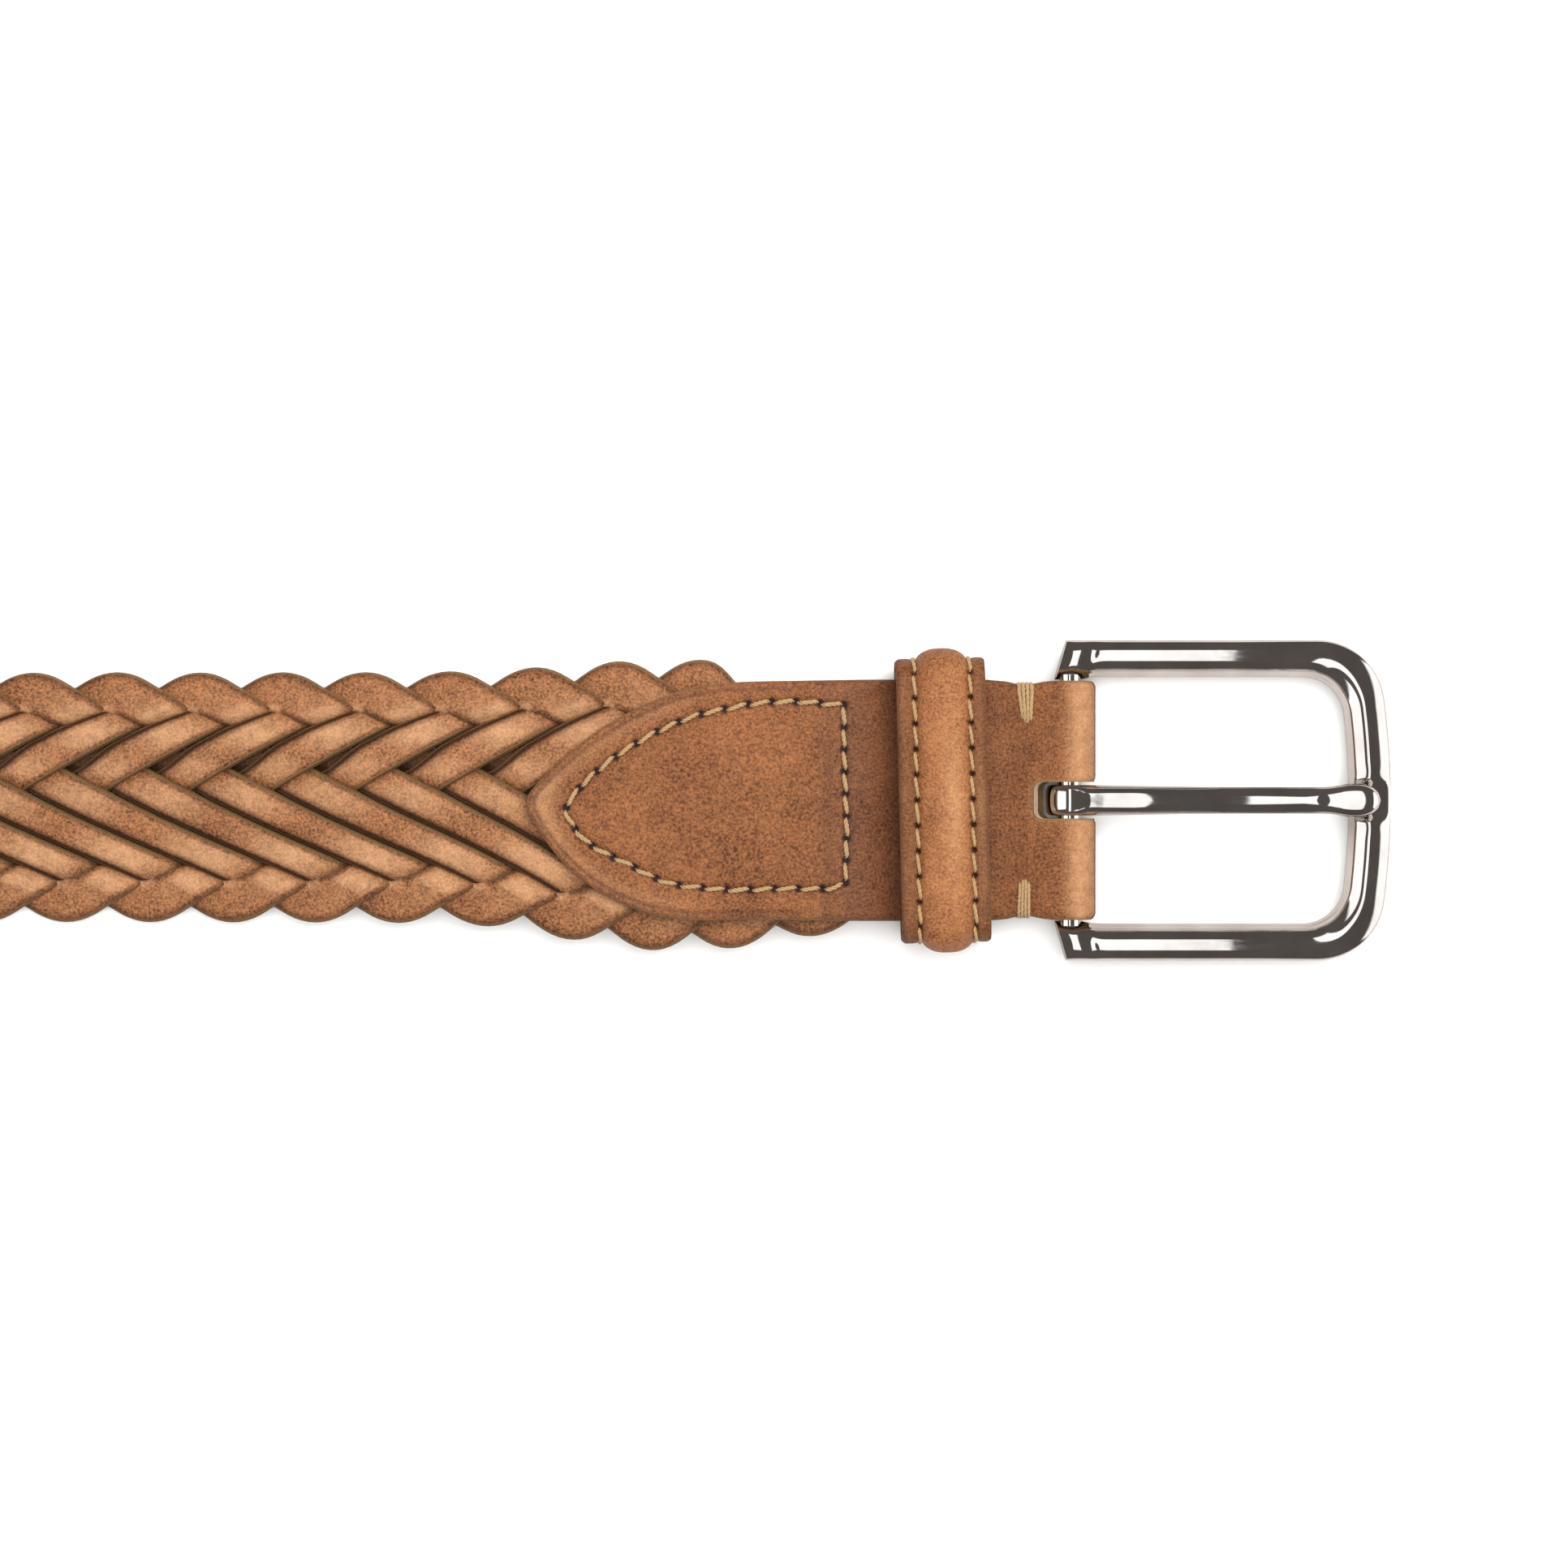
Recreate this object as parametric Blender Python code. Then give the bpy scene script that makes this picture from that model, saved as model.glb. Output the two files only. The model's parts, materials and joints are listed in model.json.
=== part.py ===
"""A braided leather dress belt, laid out straight on a table, right side up.

Ten leather strands are plaited flat. A leather chape covers the braid's end and folds round
the bar of a metal buckle, and a loose keeper holds the tail. The far end of the braid lies
between the two layers of a leather tip with five punched holes.

+X runs along the belt towards the buckle, +Y across it and +Z up. Z = 0 is the table. The
origin is the middle of the belt's footprint. Sizes are in metres. Every x below is measured
from the axis of the buckle's bar, and is negative along the strap.
"""

import math

import bmesh
import bpy
from mathutils import Matrix, Vector

MM = 0.001
GAP = 0.3 * MM  # air between neighbouring pieces

# The whole belt
STRAP_LENGTH = 1000 * MM  # from the bar to the end of the tip
HALF_WIDTH = 16.6 * MM  # of the smooth leather ends

# The braid
STRANDS = 10
PITCH = 11.9 * MM  # from one edge loop to the next
LOOP_SHIFT = 0.60  # how far the upper loops lie past whole pitches from the bar
LATTICE_HALF = 15.5 * MM  # from the centre line to where a strand starts to turn
CREST = 1.9 * MM  # how far an edge loop stands out beyond that
LEAN = 0.54  # the share of a strand's run along the belt spent going down
PASSES = "OUUUOOOOU"  # over or under each of the nine strands met on the way down
STRAND_SHARE = 0.80  # of the room between two neighbours that a strand fills
RAMP = 0.14  # length of the step from over to under, in strand spacings
STRAND_THICKNESS = 1.5 * MM
LEVEL = 0.95 * MM  # how far an over or under pass lies from the braid's middle
CREST_STEPS = 4
BRAID_HALF = LEVEL + STRAND_THICKNESS / 2

# The chape, the leather that holds the buckle
LEATHER = 1.5 * MM
CHAPE_BOTTOM = 2.4 * MM  # high enough for the keeper to pass under
CHAPE_POINT = -76.7 * MM
CHAPE_ARCH = 28.7 * MM  # length of the pointed arch
CHAPE_SLOPE = (-31.5 * MM, -21.5 * MM)  # where the front comes down to the back
FOLD_START = -10 * MM
FOLD_WIDTH = 17 * MM  # half of it
FOLD_INNER = 2.2 * MM
NECK_X = -6.4 * MM
NECK_HALF = 16.2 * MM
SLOT_END = -5.2 * MM
SLOT_HALF = 2.6 * MM
SLOT_CORNER = 1.2 * MM
SEAM_INSET = 3.4 * MM
SEAM_RIGHT = -32.2 * MM
BRAID_RIGHT = -31.5 * MM  # where the braid ends inside the chape

# The tip
TIP_LEATHER = 1.4 * MM
TIP_SHIELD = -775 * MM
TIP_ARCH = 25 * MM
TIP_SLOPE = (-821 * MM, -833 * MM)
BRAID_LEFT = -824 * MM
HOLES = 5
HOLE_PITCH = 25 * MM
LAST_HOLE = 60 * MM  # from the tip's end
HOLE_RADIUS = 2.3 * MM

# How the braid lies between the table and the two ends
SQUEEZE = 0.75  # thickness left at the braid's skived ends
SQUEEZE_LENGTH = 6 * MM
RISE_TO_CHAPE = (-135 * MM, -80 * MM)
RISE_TO_TIP = (-740 * MM, -772 * MM)
FLARE = 0.16  # extra width beside the chape
FLARE_X = -55 * MM
FLARE_REACH = 36 * MM
SAG = -1.2 * MM  # sideways shift of the widest place

# The buckle
BAR_Z = 4.2 * MM
BAR_RADIUS = 1.7 * MM
BAR_ROOT = 0.9 * MM  # how far the bar runs into each arm
FRAME_REACH = 45.5 * MM
FRAME_HALF = 22.7 * MM
FRAME_CORNER = 9.6 * MM
WINDOW_REACH = 39.7 * MM
WINDOW_HALF = 17.5 * MM
WINDOW_CORNER = 5.9 * MM
END_CURVE = 110 * MM  # radius of the slightly bowed end rail
ARM_END = -2.0 * MM  # the arms' ends, cut on a slant
ARM_END_OUTER = -0.5 * MM
FRAME_THICKNESS = 4.4 * MM
FRAME_ROUND = 1.3 * MM
SEAT_DEPTH = 0.6 * MM
SEAT_HALF = 3.1 * MM
SEAT_END = 44.3 * MM

# The prong
EYE_RADIUS = 3.4 * MM
EYE_BORE = 1.85 * MM
PRONG_ROOT_HALF = 2.15 * MM
PRONG_SHANK_HALF = 1.9 * MM
PRONG_BULB_HALF = 2.45 * MM
PRONG_END = 43.7 * MM

# The keeper
KEEPER_X = -18.1 * MM
KEEPER_TILT = math.radians(1.45)
KEEPER_WIDTH = 12.5 * MM
KEEPER_HALF = 17.95 * MM  # half of the room inside
KEEPER_LOW = 2.1 * MM
KEEPER_HIGH = 9.9 * MM
KEEPER_CORNER = 1.2 * MM
LINING = 0.7 * MM
BAND = 1.1 * MM
PADDING = 1.4 * MM
PAD_FOOT = 3.2 * MM  # half of the raised part's width at its foot
PAD_TOP = 2.0 * MM  # and at its top
KEEPER_SEAM = 3.85 * MM

# Sewing thread
THREAD_RADIUS = 0.35 * MM
TACK_INNER = 11.2 * MM
TACK_EDGE = 17.1 * MM
TACK_PITCH = 0.85 * MM

# Derived places
BAR_X = (STRAP_LENGTH - FRAME_REACH) / 2
FOLD_OUTER = FOLD_INNER + LEATHER
CHAPE_BACK_TOP = CHAPE_BOTTOM + LEATHER
CHAPE_FRONT_LOW = CHAPE_BACK_TOP + GAP
CHAPE_FRONT_HIGH = CHAPE_FRONT_LOW + 2 * BRAID_HALF + GAP
TIP_FRONT_LOW = TIP_LEATHER + GAP
TIP_FRONT_HIGH = TIP_FRONT_LOW + 2 * BRAID_HALF + GAP
TIP_END = -STRAP_LENGTH

belt = bpy.data.collections.new("braided_leather_belt")
cutters = bpy.data.collections.new("cutters")


# ---------------------------------------------------------------- small tools


def blend(x, start, end):
    """0 at start, 1 at end, with a smooth S between them."""
    t = min(max((x - start) / (end - start), 0), 1)
    return t * t * (3 - 2 * t)


def spread(first, last, steps):
    """Evenly spaced values from first to last."""
    return [first + (last - first) * i / steps for i in range(steps + 1)]


def arc(cx, cy, radius, first, last, steps):
    """Points on a circle, with angles in degrees."""
    return [
        (cx + radius * math.cos(math.radians(a)), cy + radius * math.sin(math.radians(a)))
        for a in spread(first, last, steps)
    ]


def material(name, colour, roughness, metallic=0.0):
    made = bpy.data.materials.new(name)
    made.use_nodes = True
    shader = made.node_tree.nodes["Principled BSDF"]
    shader.inputs["Base Color"].default_value = (*colour, 1)
    shader.inputs["Roughness"].default_value = roughness
    shader.inputs["Metallic"].default_value = metallic
    return made


def place(name, mesh, parent, collection=belt):
    made = bpy.data.objects.new(name, mesh)
    made.parent = parent
    collection.objects.link(made)
    if collection is cutters:
        made.hide_render = True
        made.display_type = "WIRE"
    return made


def empty(name, location, turn=0.0):
    made = bpy.data.objects.new(name, None)
    made.location = location
    made.rotation_euler.z = turn
    belt.objects.link(made)
    return made


def loft(sections, closed=False):
    """A solid skinned over equal-length rings of points. Open lofts get end caps."""
    mesh = bpy.data.meshes.new("loft")
    bm = bmesh.new()
    rings = [[bm.verts.new(point) for point in section] for section in sections]
    pairs = list(zip(rings, rings[1:]))
    if closed:
        pairs.append((rings[-1], rings[0]))
    for ring, following in pairs:
        for i in range(len(ring)):
            j = (i + 1) % len(ring)
            bm.faces.new((ring[i], ring[j], following[j], following[i]))
    if not closed:
        bm.faces.new(reversed(rings[0]))
        bm.faces.new(rings[-1])
    bmesh.ops.remove_doubles(bm, verts=bm.verts, dist=1e-7)
    bmesh.ops.recalc_face_normals(bm, faces=bm.faces)
    bm.to_mesh(mesh)
    bm.free()
    return mesh


def smooth(mesh):
    """Smooth shading with hard edges kept."""
    mesh.shade_smooth()
    mesh.set_sharp_from_angle(angle=math.radians(35))


def curve_to_mesh(curve):
    """The curve's surface as a mesh with its caps welded on."""
    holder = bpy.data.objects.new("curve", curve)
    bpy.context.scene.collection.objects.link(holder)
    graph = bpy.context.evaluated_depsgraph_get()
    mesh = bpy.data.meshes.new_from_object(holder.evaluated_get(graph))
    bpy.data.objects.remove(holder)
    bm = bmesh.new()
    bm.from_mesh(mesh)
    bmesh.ops.remove_doubles(bm, verts=bm.verts, dist=1e-7)
    bmesh.ops.recalc_face_normals(bm, faces=bm.faces)
    bm.to_mesh(mesh)
    bm.free()
    smooth(mesh)
    return mesh


def poly_curve(points, dimensions, cyclic):
    curve = bpy.data.curves.new("curve", "CURVE")
    curve.dimensions = dimensions
    spline = curve.splines.new("POLY")
    spline.points.add(len(points) - 1)
    for target, point in zip(spline.points, points):
        target.co = (*point, 0, 1) if len(point) == 2 else (*point, 1)
    spline.use_cyclic_u = cyclic
    return curve


def plate(outline, low, high, rounding=0.0):
    """A flat outline in XY between two heights, with rounded rims if asked for."""
    curve = poly_curve(outline, "2D", True)
    curve.fill_mode = "BOTH"
    curve.extrude = (high - low) / 2 - rounding
    curve.bevel_depth = rounding
    curve.bevel_resolution = 2 if rounding else 0
    curve.offset = -rounding
    mesh = curve_to_mesh(curve)
    mesh.transform(Matrix.Translation((0, 0, (low + high) / 2)))
    return mesh


def side_plate(outline, half):
    """A flat outline in XZ, from -half to +half across the belt."""
    mesh = plate(outline, -half, half)
    mesh.transform(Matrix.Rotation(math.pi / 2, 4, "X"))
    return mesh


def wire(points, cyclic=False):
    """A round thread through the points."""
    curve = poly_curve(points, "3D", cyclic)
    curve.bevel_depth = THREAD_RADIUS
    curve.bevel_resolution = 1
    curve.use_fill_caps = True
    return curve_to_mesh(curve)


def cross_cylinder(radius, half, segments=24):
    """A cylinder across the belt, centred on the axis of its parent."""
    mesh = bpy.data.meshes.new("cylinder")
    bm = bmesh.new()
    turn = Matrix.Rotation(math.pi / 2, 4, "X")
    bmesh.ops.create_cone(
        bm, cap_ends=True, segments=segments, radius1=radius, radius2=radius, depth=2 * half, matrix=turn
    )
    bm.to_mesh(mesh)
    bm.free()
    return mesh


def combine(target, operation, name, mesh):
    """Adds one exact Boolean step to the target."""
    cutter = place(name, mesh, target.parent, cutters)
    step = target.modifiers.new(name, "BOOLEAN")
    step.operation = operation
    step.solver = "EXACT"
    step.object = cutter
    return cutter


# ---------------------------------------------------------------- the braid


def braid_middle(x):
    """Height of the braid's middle: on the table, or between the layers of an end."""
    on_table = BRAID_HALF
    in_chape = CHAPE_FRONT_LOW + BRAID_HALF * squeeze(x)
    in_tip = TIP_FRONT_LOW + BRAID_HALF * squeeze(x)
    height = on_table + (in_chape - on_table) * blend(x, *RISE_TO_CHAPE)
    return height + (in_tip - on_table) * blend(x, *RISE_TO_TIP)


def squeeze(x):
    """Thickness of the braid, thinner at its skived ends."""
    at_right = blend(x, BRAID_RIGHT - SQUEEZE_LENGTH, BRAID_RIGHT)
    at_left = blend(x, BRAID_LEFT + SQUEEZE_LENGTH, BRAID_LEFT)
    return 1 - (1 - SQUEEZE) * (at_right + at_left)


def flare(x):
    """0 to 1: how much the braid spreads beside the chape."""
    t = min(max((x - FLARE_X) / FLARE_REACH, -1), 1)
    return math.cos(t * math.pi / 2) ** 2


def lattice(u, v, outwards=0.0):
    """A place in the braid. Strands going down keep u, strands going up keep v, and both
    are counted in edge loops. v - u is 0 at the upper edge and STRANDS at the lower one."""
    depth = v - u
    x = PITCH * (u + LEAN * depth + LOOP_SHIFT)
    y = LATTICE_HALF * (1 - 2 * depth / STRANDS)
    return x, y + math.copysign(outwards, y)


def settle(x, y, height):
    """Lays a flat lattice point on the real belt. height is measured from the middle."""
    spread_out = flare(x)
    return Vector((x, y * (1 + FLARE * spread_out) + SAG * spread_out, braid_middle(x) + squeeze(x) * height))


def section(left, right, height):
    """The four corners of a strand between its left and right edge."""
    half = STRAND_THICKNESS / 2
    return [
        settle(*left, height + half),
        settle(*right, height + half),
        settle(*right, height - half),
        settle(*left, height - half),
    ]


def pass_heights(going_down):
    """Height at each crossing, from the upper edge to the lower one. Edge loops are level."""
    sign = 1 if going_down else -1
    passes = [sign * LEVEL if letter == "O" else -sign * LEVEL for letter in PASSES]
    return [0, *passes, 0]


def is_bent(x):
    """True where the braid rises, spreads or is squeezed, and so needs closer sections."""
    near_chape = x > RISE_TO_CHAPE[0] - PITCH
    near_tip = x < RISE_TO_TIP[0] + PITCH
    return near_chape or near_tip


def run_places(going_down):
    """Places along one run as (depth, height), from the upper edge to the lower one."""
    heights = pass_heights(going_down)
    places = []
    for i in range(STRANDS):
        before, after = heights[i], heights[i + 1]
        middle = i + 0.5
        if before == after:
            places.append((middle, after, False))
            continue
        ramp_start = STRAND_SHARE / 2 if i == 0 else middle - RAMP / 2
        ramp_end = STRANDS - STRAND_SHARE / 2 if i == STRANDS - 1 else middle + RAMP / 2
        places.append((ramp_start, before, True))
        places.append((ramp_end, after, True))
    return places


def edge_turn(inner, first, last):
    """Sections of an edge loop, as a fan from its inner corner over a rounded rim."""
    for share in spread(0, 1, CREST_STEPS)[1:-1]:
        outwards = CREST * (1 - (2 * share - 1) ** 2)
        u = first[0] + (last[0] - first[0]) * share
        v = first[1] + (last[1] - first[1]) * share
        yield inner, lattice(u, v, outwards)


def strand_sections(number):
    """All sections of one strand in order, as (left edge, right edge, height, needed)."""
    half = STRAND_SHARE / 2
    first_loop = math.floor(BRAID_LEFT / PITCH) - 2 * STRANDS
    first_loop -= (first_loop - number) % STRANDS
    loop = first_loop
    while loop * PITCH < 0:
        for depth, height, needed in run_places(True):
            v = loop + depth
            yield lattice(loop + half, v), lattice(loop - half, v), height, needed
        low = loop + STRANDS
        corner = lattice(loop + half, low - half)
        for left, right in edge_turn(corner, (loop - half, low - half), (loop + half, low + half)):
            yield left, right, 0, True
        for depth, height, needed in reversed(run_places(False)):
            u = low - depth
            yield lattice(u, low - half), lattice(u, low + half), height, needed
        corner = lattice(low - half, low + half)
        for right, left in edge_turn(corner, (low - half, low - half), (low + half, low + half)):
            yield left, right, 0, True
        loop += STRANDS


def build_strand(number, finish, parent):
    sections = []
    for left, right, height, needed in strand_sections(number):
        middle = (left[0] + right[0]) / 2
        if BRAID_LEFT < middle < BRAID_RIGHT and (needed or is_bent(middle)):
            sections.append(section(left, right, height))
    mesh = loft(sections)
    mesh.materials.append(finish)
    place(f"strand_{number + 1:02d}", mesh, parent)


# ---------------------------------------------------------------- leather ends


def arch(point, length, inset=0.0, steps=9):
    """Half of a pointed arch, from its shoulder to its point on the centre line. A positive
    length opens towards +X from the point, a negative one towards -X."""
    centre_drop = (length**2 - HALF_WIDTH**2) / (2 * HALF_WIDTH)
    radius = HALF_WIDTH + centre_drop - inset
    shoulder = point + length
    last = math.degrees(math.asin(centre_drop / radius))
    side = -1 if length > 0 else 1
    points = arc(0, -centre_drop, radius, 90, last, steps)
    return [(shoulder + side * x, y) for x, y in points]


def mirrored(upper):
    """Closes an outline whose upper half runs between two points on the centre line."""
    lower = [(x, -y) for x, y in reversed(upper)]
    return upper + [point for point in lower if abs(point[1]) > 1e-6]


def chape_outline():
    upper = arch(CHAPE_POINT, CHAPE_ARCH)[::-1]
    upper[0] = (upper[0][0], 0)
    upper.append((-24 * MM, FOLD_WIDTH))
    upper.append((FOLD_START, FOLD_WIDTH))
    upper.append((NECK_X, NECK_HALF))
    upper.append((-3 * MM, FOLD_WIDTH))
    upper.append((2 * FOLD_OUTER, FOLD_WIDTH))
    return mirrored(upper)


def chape_front(x):
    """Underside of the chape's front layer."""
    over_braid = CHAPE_FRONT_HIGH
    low = over_braid + (CHAPE_FRONT_LOW - over_braid) * blend(x, *CHAPE_SLOPE)
    over_bar = BAR_Z + FOLD_INNER
    return low + (over_bar - CHAPE_FRONT_LOW) * blend(x, FOLD_START, 0)


def chape_back(x):
    """Underside of the chape's back layer."""
    return CHAPE_BOTTOM + (BAR_Z - FOLD_OUTER - CHAPE_BOTTOM) * blend(x, FOLD_START, 0)


def chape_side():
    """The chape seen from the side: front layer, fold round the bar, back layer."""
    far = CHAPE_POINT - 3 * MM
    front = [far, *spread(*CHAPE_SLOPE, 6), *spread(FOLD_START, 0, 6)]
    back = [far, *spread(FOLD_START, 0, 6)]
    outline = [(x, chape_front(x) + LEATHER) for x in front]
    outline += arc(0, BAR_Z, FOLD_OUTER, 90, -90, 14)[1:-1]
    outline += [(x, chape_back(x)) for x in reversed(back)]
    outline += [(x, chape_back(x) + LEATHER) for x in back]
    outline += arc(0, BAR_Z, FOLD_INNER, -90, 90, 14)[1:-1]
    outline += [(x, chape_front(x)) for x in reversed(front)]
    return outline


def build_chape(finish, parent):
    mesh = side_plate(chape_side(), FOLD_WIDTH + 3 * MM)
    mesh.materials.append(finish)
    chape = place("chape_leather", mesh, parent)
    combine(chape, "INTERSECT", "chape_outline", plate(chape_outline(), -5 * MM, 20 * MM))
    far = 3 * FOLD_OUTER
    corner_x = SLOT_END + SLOT_CORNER
    corner_y = SLOT_HALF - SLOT_CORNER
    slot = arc(corner_x, corner_y, SLOT_CORNER, 90, 180, 5)
    slot += arc(corner_x, -corner_y, SLOT_CORNER, 180, 270, 5)
    slot += [(far, -SLOT_HALF), (far, SLOT_HALF)]
    combine(chape, "DIFFERENCE", "prong_slot", plate(slot, -5 * MM, 20 * MM))


def build_chape_thread(finish, parent):
    height = CHAPE_FRONT_HIGH + LEATHER + GAP + THREAD_RADIUS
    upper = arch(CHAPE_POINT, CHAPE_ARCH, SEAM_INSET)[::-1]
    upper[0] = (upper[0][0], 0)
    upper.append((SEAM_RIGHT, HALF_WIDTH - SEAM_INSET))
    mesh = wire([(x, y, height) for x, y in mirrored(upper)], cyclic=True)
    mesh.materials.append(finish)
    place("chape_thread", mesh, parent)


def rounded_bend(points, radius=0.8 * MM):
    """Cuts each inner corner of a path into three points, so that a thread can bend there."""
    path = [points[0]]
    for before, corner, after in zip(points, points[1:], points[2:]):
        corner = Vector(corner)
        towards = (Vector(before) - corner).normalized() * radius
        away = (Vector(after) - corner).normalized() * radius
        path += [corner + towards, corner + (towards + away) * 0.3, corner + away]
    return path + [points[-1]]


def build_bar_tack(name, side, finish, parent):
    """Three passes of thread over the edge of the neck, front to back and again."""
    clear = GAP + THREAD_RADIUS
    points = []
    for i in range(3):
        x = NECK_X + (i - 1) * TACK_PITCH
        top = chape_front(x) + LEATHER + clear
        low = chape_back(x) - clear
        turn = [
            (x, side * TACK_INNER, top),
            (x, side * TACK_EDGE, top),
            (x, side * TACK_EDGE, low),
            (x, side * TACK_INNER, low),
        ]
        points += turn if i % 2 == 0 else turn[::-1]
    mesh = wire(rounded_bend(points, 0.4 * MM))
    mesh.materials.append(finish)
    place(name, mesh, parent)


def tip_outline():
    upper = arch(TIP_END, TIP_ARCH)[::-1]
    upper[0] = (upper[0][0], 0)
    shield = arch(TIP_SHIELD, -CHAPE_ARCH)
    shield[-1] = (shield[-1][0], 0)
    return mirrored(upper + shield)


def tip_front(x):
    """Underside of the tip's front layer."""
    return TIP_FRONT_HIGH + (TIP_FRONT_LOW - TIP_FRONT_HIGH) * blend(x, *TIP_SLOPE)


def punch_holes(target):
    """The row of holes for the prong."""
    for i in range(HOLES):
        x = TIP_END + LAST_HOLE + i * HOLE_PITCH
        post = plate(arc(x, 0, HOLE_RADIUS, 0, 337.5, 15), -5 * MM, 12 * MM)
        combine(target, "DIFFERENCE", f"{target.name}_hole_{i + 1}", post)


def build_tip(finish, parent):
    back_mesh = plate(tip_outline(), 0, TIP_LEATHER)
    back_mesh.materials.append(finish)
    back = place("tip_back", back_mesh, parent)
    punch_holes(back)

    stations = [TIP_SHIELD + 3 * MM, *spread(*TIP_SLOPE, 6), TIP_END - 3 * MM]
    side = [(x, tip_front(x) + TIP_LEATHER) for x in stations]
    side += [(x, tip_front(x)) for x in reversed(stations)]
    front_mesh = side_plate(side, FOLD_WIDTH + 3 * MM)
    front_mesh.materials.append(finish)
    front = place("tip_front", front_mesh, parent)
    combine(front, "INTERSECT", "tip_outline", plate(tip_outline(), -5 * MM, 12 * MM))
    punch_holes(front)


def build_tip_thread(finish, parent):
    clear = TIP_LEATHER + GAP + THREAD_RADIUS
    upper = arch(TIP_END, TIP_ARCH, SEAM_INSET, steps=6)[::-1]
    upper[0] = (upper[0][0], 0)
    side = HALF_WIDTH - SEAM_INSET
    upper += [(x, side) for x in reversed(spread(*TIP_SLOPE, 6))]
    shield = arch(TIP_SHIELD, -CHAPE_ARCH, SEAM_INSET, steps=6)
    shield[-1] = (shield[-1][0], 0)
    path = mirrored(upper + shield)
    mesh = wire([(x, y, tip_front(x) + clear) for x, y in path], cyclic=True)
    mesh.materials.append(finish)
    place("tip_thread", mesh, parent)


# ---------------------------------------------------------------- buckle


def rounded_end(reach, half, corner, bow, steps=6):
    """The closed end of a buckle outline, from its upper side round to its lower side."""
    lean = math.degrees(math.asin((half - corner) / (bow - corner)))
    cx = reach - bow + (bow - corner) * math.cos(math.radians(lean))
    cy = half - corner
    upper = arc(cx, cy, corner, 90, lean, steps)
    end = arc(reach - bow, 0, bow, lean, -lean, steps)
    lower = arc(cx, -cy, corner, -lean, -90, steps)
    return upper[:-1] + end + lower[1:]


def frame_outline():
    outer = rounded_end(FRAME_REACH, FRAME_HALF, FRAME_CORNER, END_CURVE)
    window = rounded_end(WINDOW_REACH, WINDOW_HALF, WINDOW_CORNER, END_CURVE)
    outer = [(ARM_END_OUTER, FRAME_HALF), *outer, (ARM_END_OUTER, -FRAME_HALF)]
    window = [(ARM_END, WINDOW_HALF), *window, (ARM_END, -WINDOW_HALF)]
    return outer + window[::-1]


def build_frame(finish, parent):
    half = FRAME_THICKNESS / 2
    mesh = plate(frame_outline(), -half, half, FRAME_ROUND)
    mesh.materials.append(finish)
    frame = place("buckle_frame", mesh, parent)
    combine(frame, "UNION", "bar", cross_cylinder(BAR_RADIUS, WINDOW_HALF + BAR_ROOT))
    start = WINDOW_REACH - 4 * MM
    seat = arc(SEAT_END - SEAT_HALF, 0, SEAT_HALF, -90, 90, 10) + [(start, SEAT_HALF), (start, -SEAT_HALF)]
    combine(frame, "DIFFERENCE", "prong_seat", plate(seat, half - SEAT_DEPTH, half + 3 * MM))


def prong_side():
    """The prong seen from the side: its eye and a shank that rests on the end rail."""
    rest = FRAME_THICKNESS / 2 - SEAT_DEPTH + GAP + 0.1 * MM
    upper = [(0, EYE_RADIUS), (10 * MM, 3.9 * MM), (25 * MM, 4.5 * MM), (36 * MM, 4.5 * MM)]
    tip = [(41 * MM, 4.2 * MM), (PRONG_END, 3.2 * MM), (PRONG_END, rest + 0.4 * MM)]
    lower = [(41 * MM, rest), (37 * MM, rest), (25 * MM, 2.1 * MM), (10 * MM, 1.1 * MM)]
    eye = arc(0, 0, EYE_RADIUS, -12, -270, 20)[:-1]
    return upper + tip + lower + eye


def prong_plan():
    """The prong seen from above: a wide root, a slim shank and a round bulb."""
    bulb_x = PRONG_END - PRONG_BULB_HALF
    upper = [
        (-EYE_RADIUS - 1 * MM, PRONG_ROOT_HALF),
        (4 * MM, PRONG_ROOT_HALF),
        (20 * MM, PRONG_SHANK_HALF),
        (bulb_x - 4 * MM, PRONG_SHANK_HALF),
    ]
    upper += arc(bulb_x, 0, PRONG_BULB_HALF, 110, 0, 8)
    return upper + [(x, -y) for x, y in reversed(upper[:-1])]


def build_prong(finish, parent):
    mesh = side_plate(prong_side(), PRONG_BULB_HALF + 1 * MM)
    mesh.materials.append(finish)
    prong = place("prong", mesh, parent)
    combine(prong, "INTERSECT", "prong_plan", plate(prong_plan(), -6 * MM, 6 * MM))
    combine(prong, "DIFFERENCE", "prong_bore", cross_cylinder(EYE_BORE, PRONG_BULB_HALF + 2 * MM))


# ---------------------------------------------------------------- keeper


def keeper_ring():
    """The room inside the keeper as (y, z, outward y, outward z), once round."""
    cy = KEEPER_HALF - KEEPER_CORNER
    low = KEEPER_LOW + KEEPER_CORNER
    high = KEEPER_HIGH - KEEPER_CORNER
    corners = [(cy, high, 0), (-cy, high, 90), (-cy, low, 180), (cy, low, 270)]
    ring = []
    for y, z, first in corners:
        for angle in spread(first, first + 90, 3):
            out_y = math.cos(math.radians(angle))
            out_z = math.sin(math.radians(angle))
            ring.append((y + KEEPER_CORNER * out_y, z + KEEPER_CORNER * out_z, out_y, out_z))
    return ring


def keeper_sections(profile, ring):
    """Sections across the keeper's leather. profile gives (x, offset, share of padding)."""
    sections = []
    for y, z, out_y, out_z in ring:
        lift = PADDING * blend(z, KEEPER_LOW, KEEPER_HIGH - KEEPER_CORNER)
        points = []
        for x, offset, share in profile:
            offset += lift * share
            points.append((x, y + offset * out_y, z + offset * out_z))
        sections.append(points)
    return sections


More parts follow.
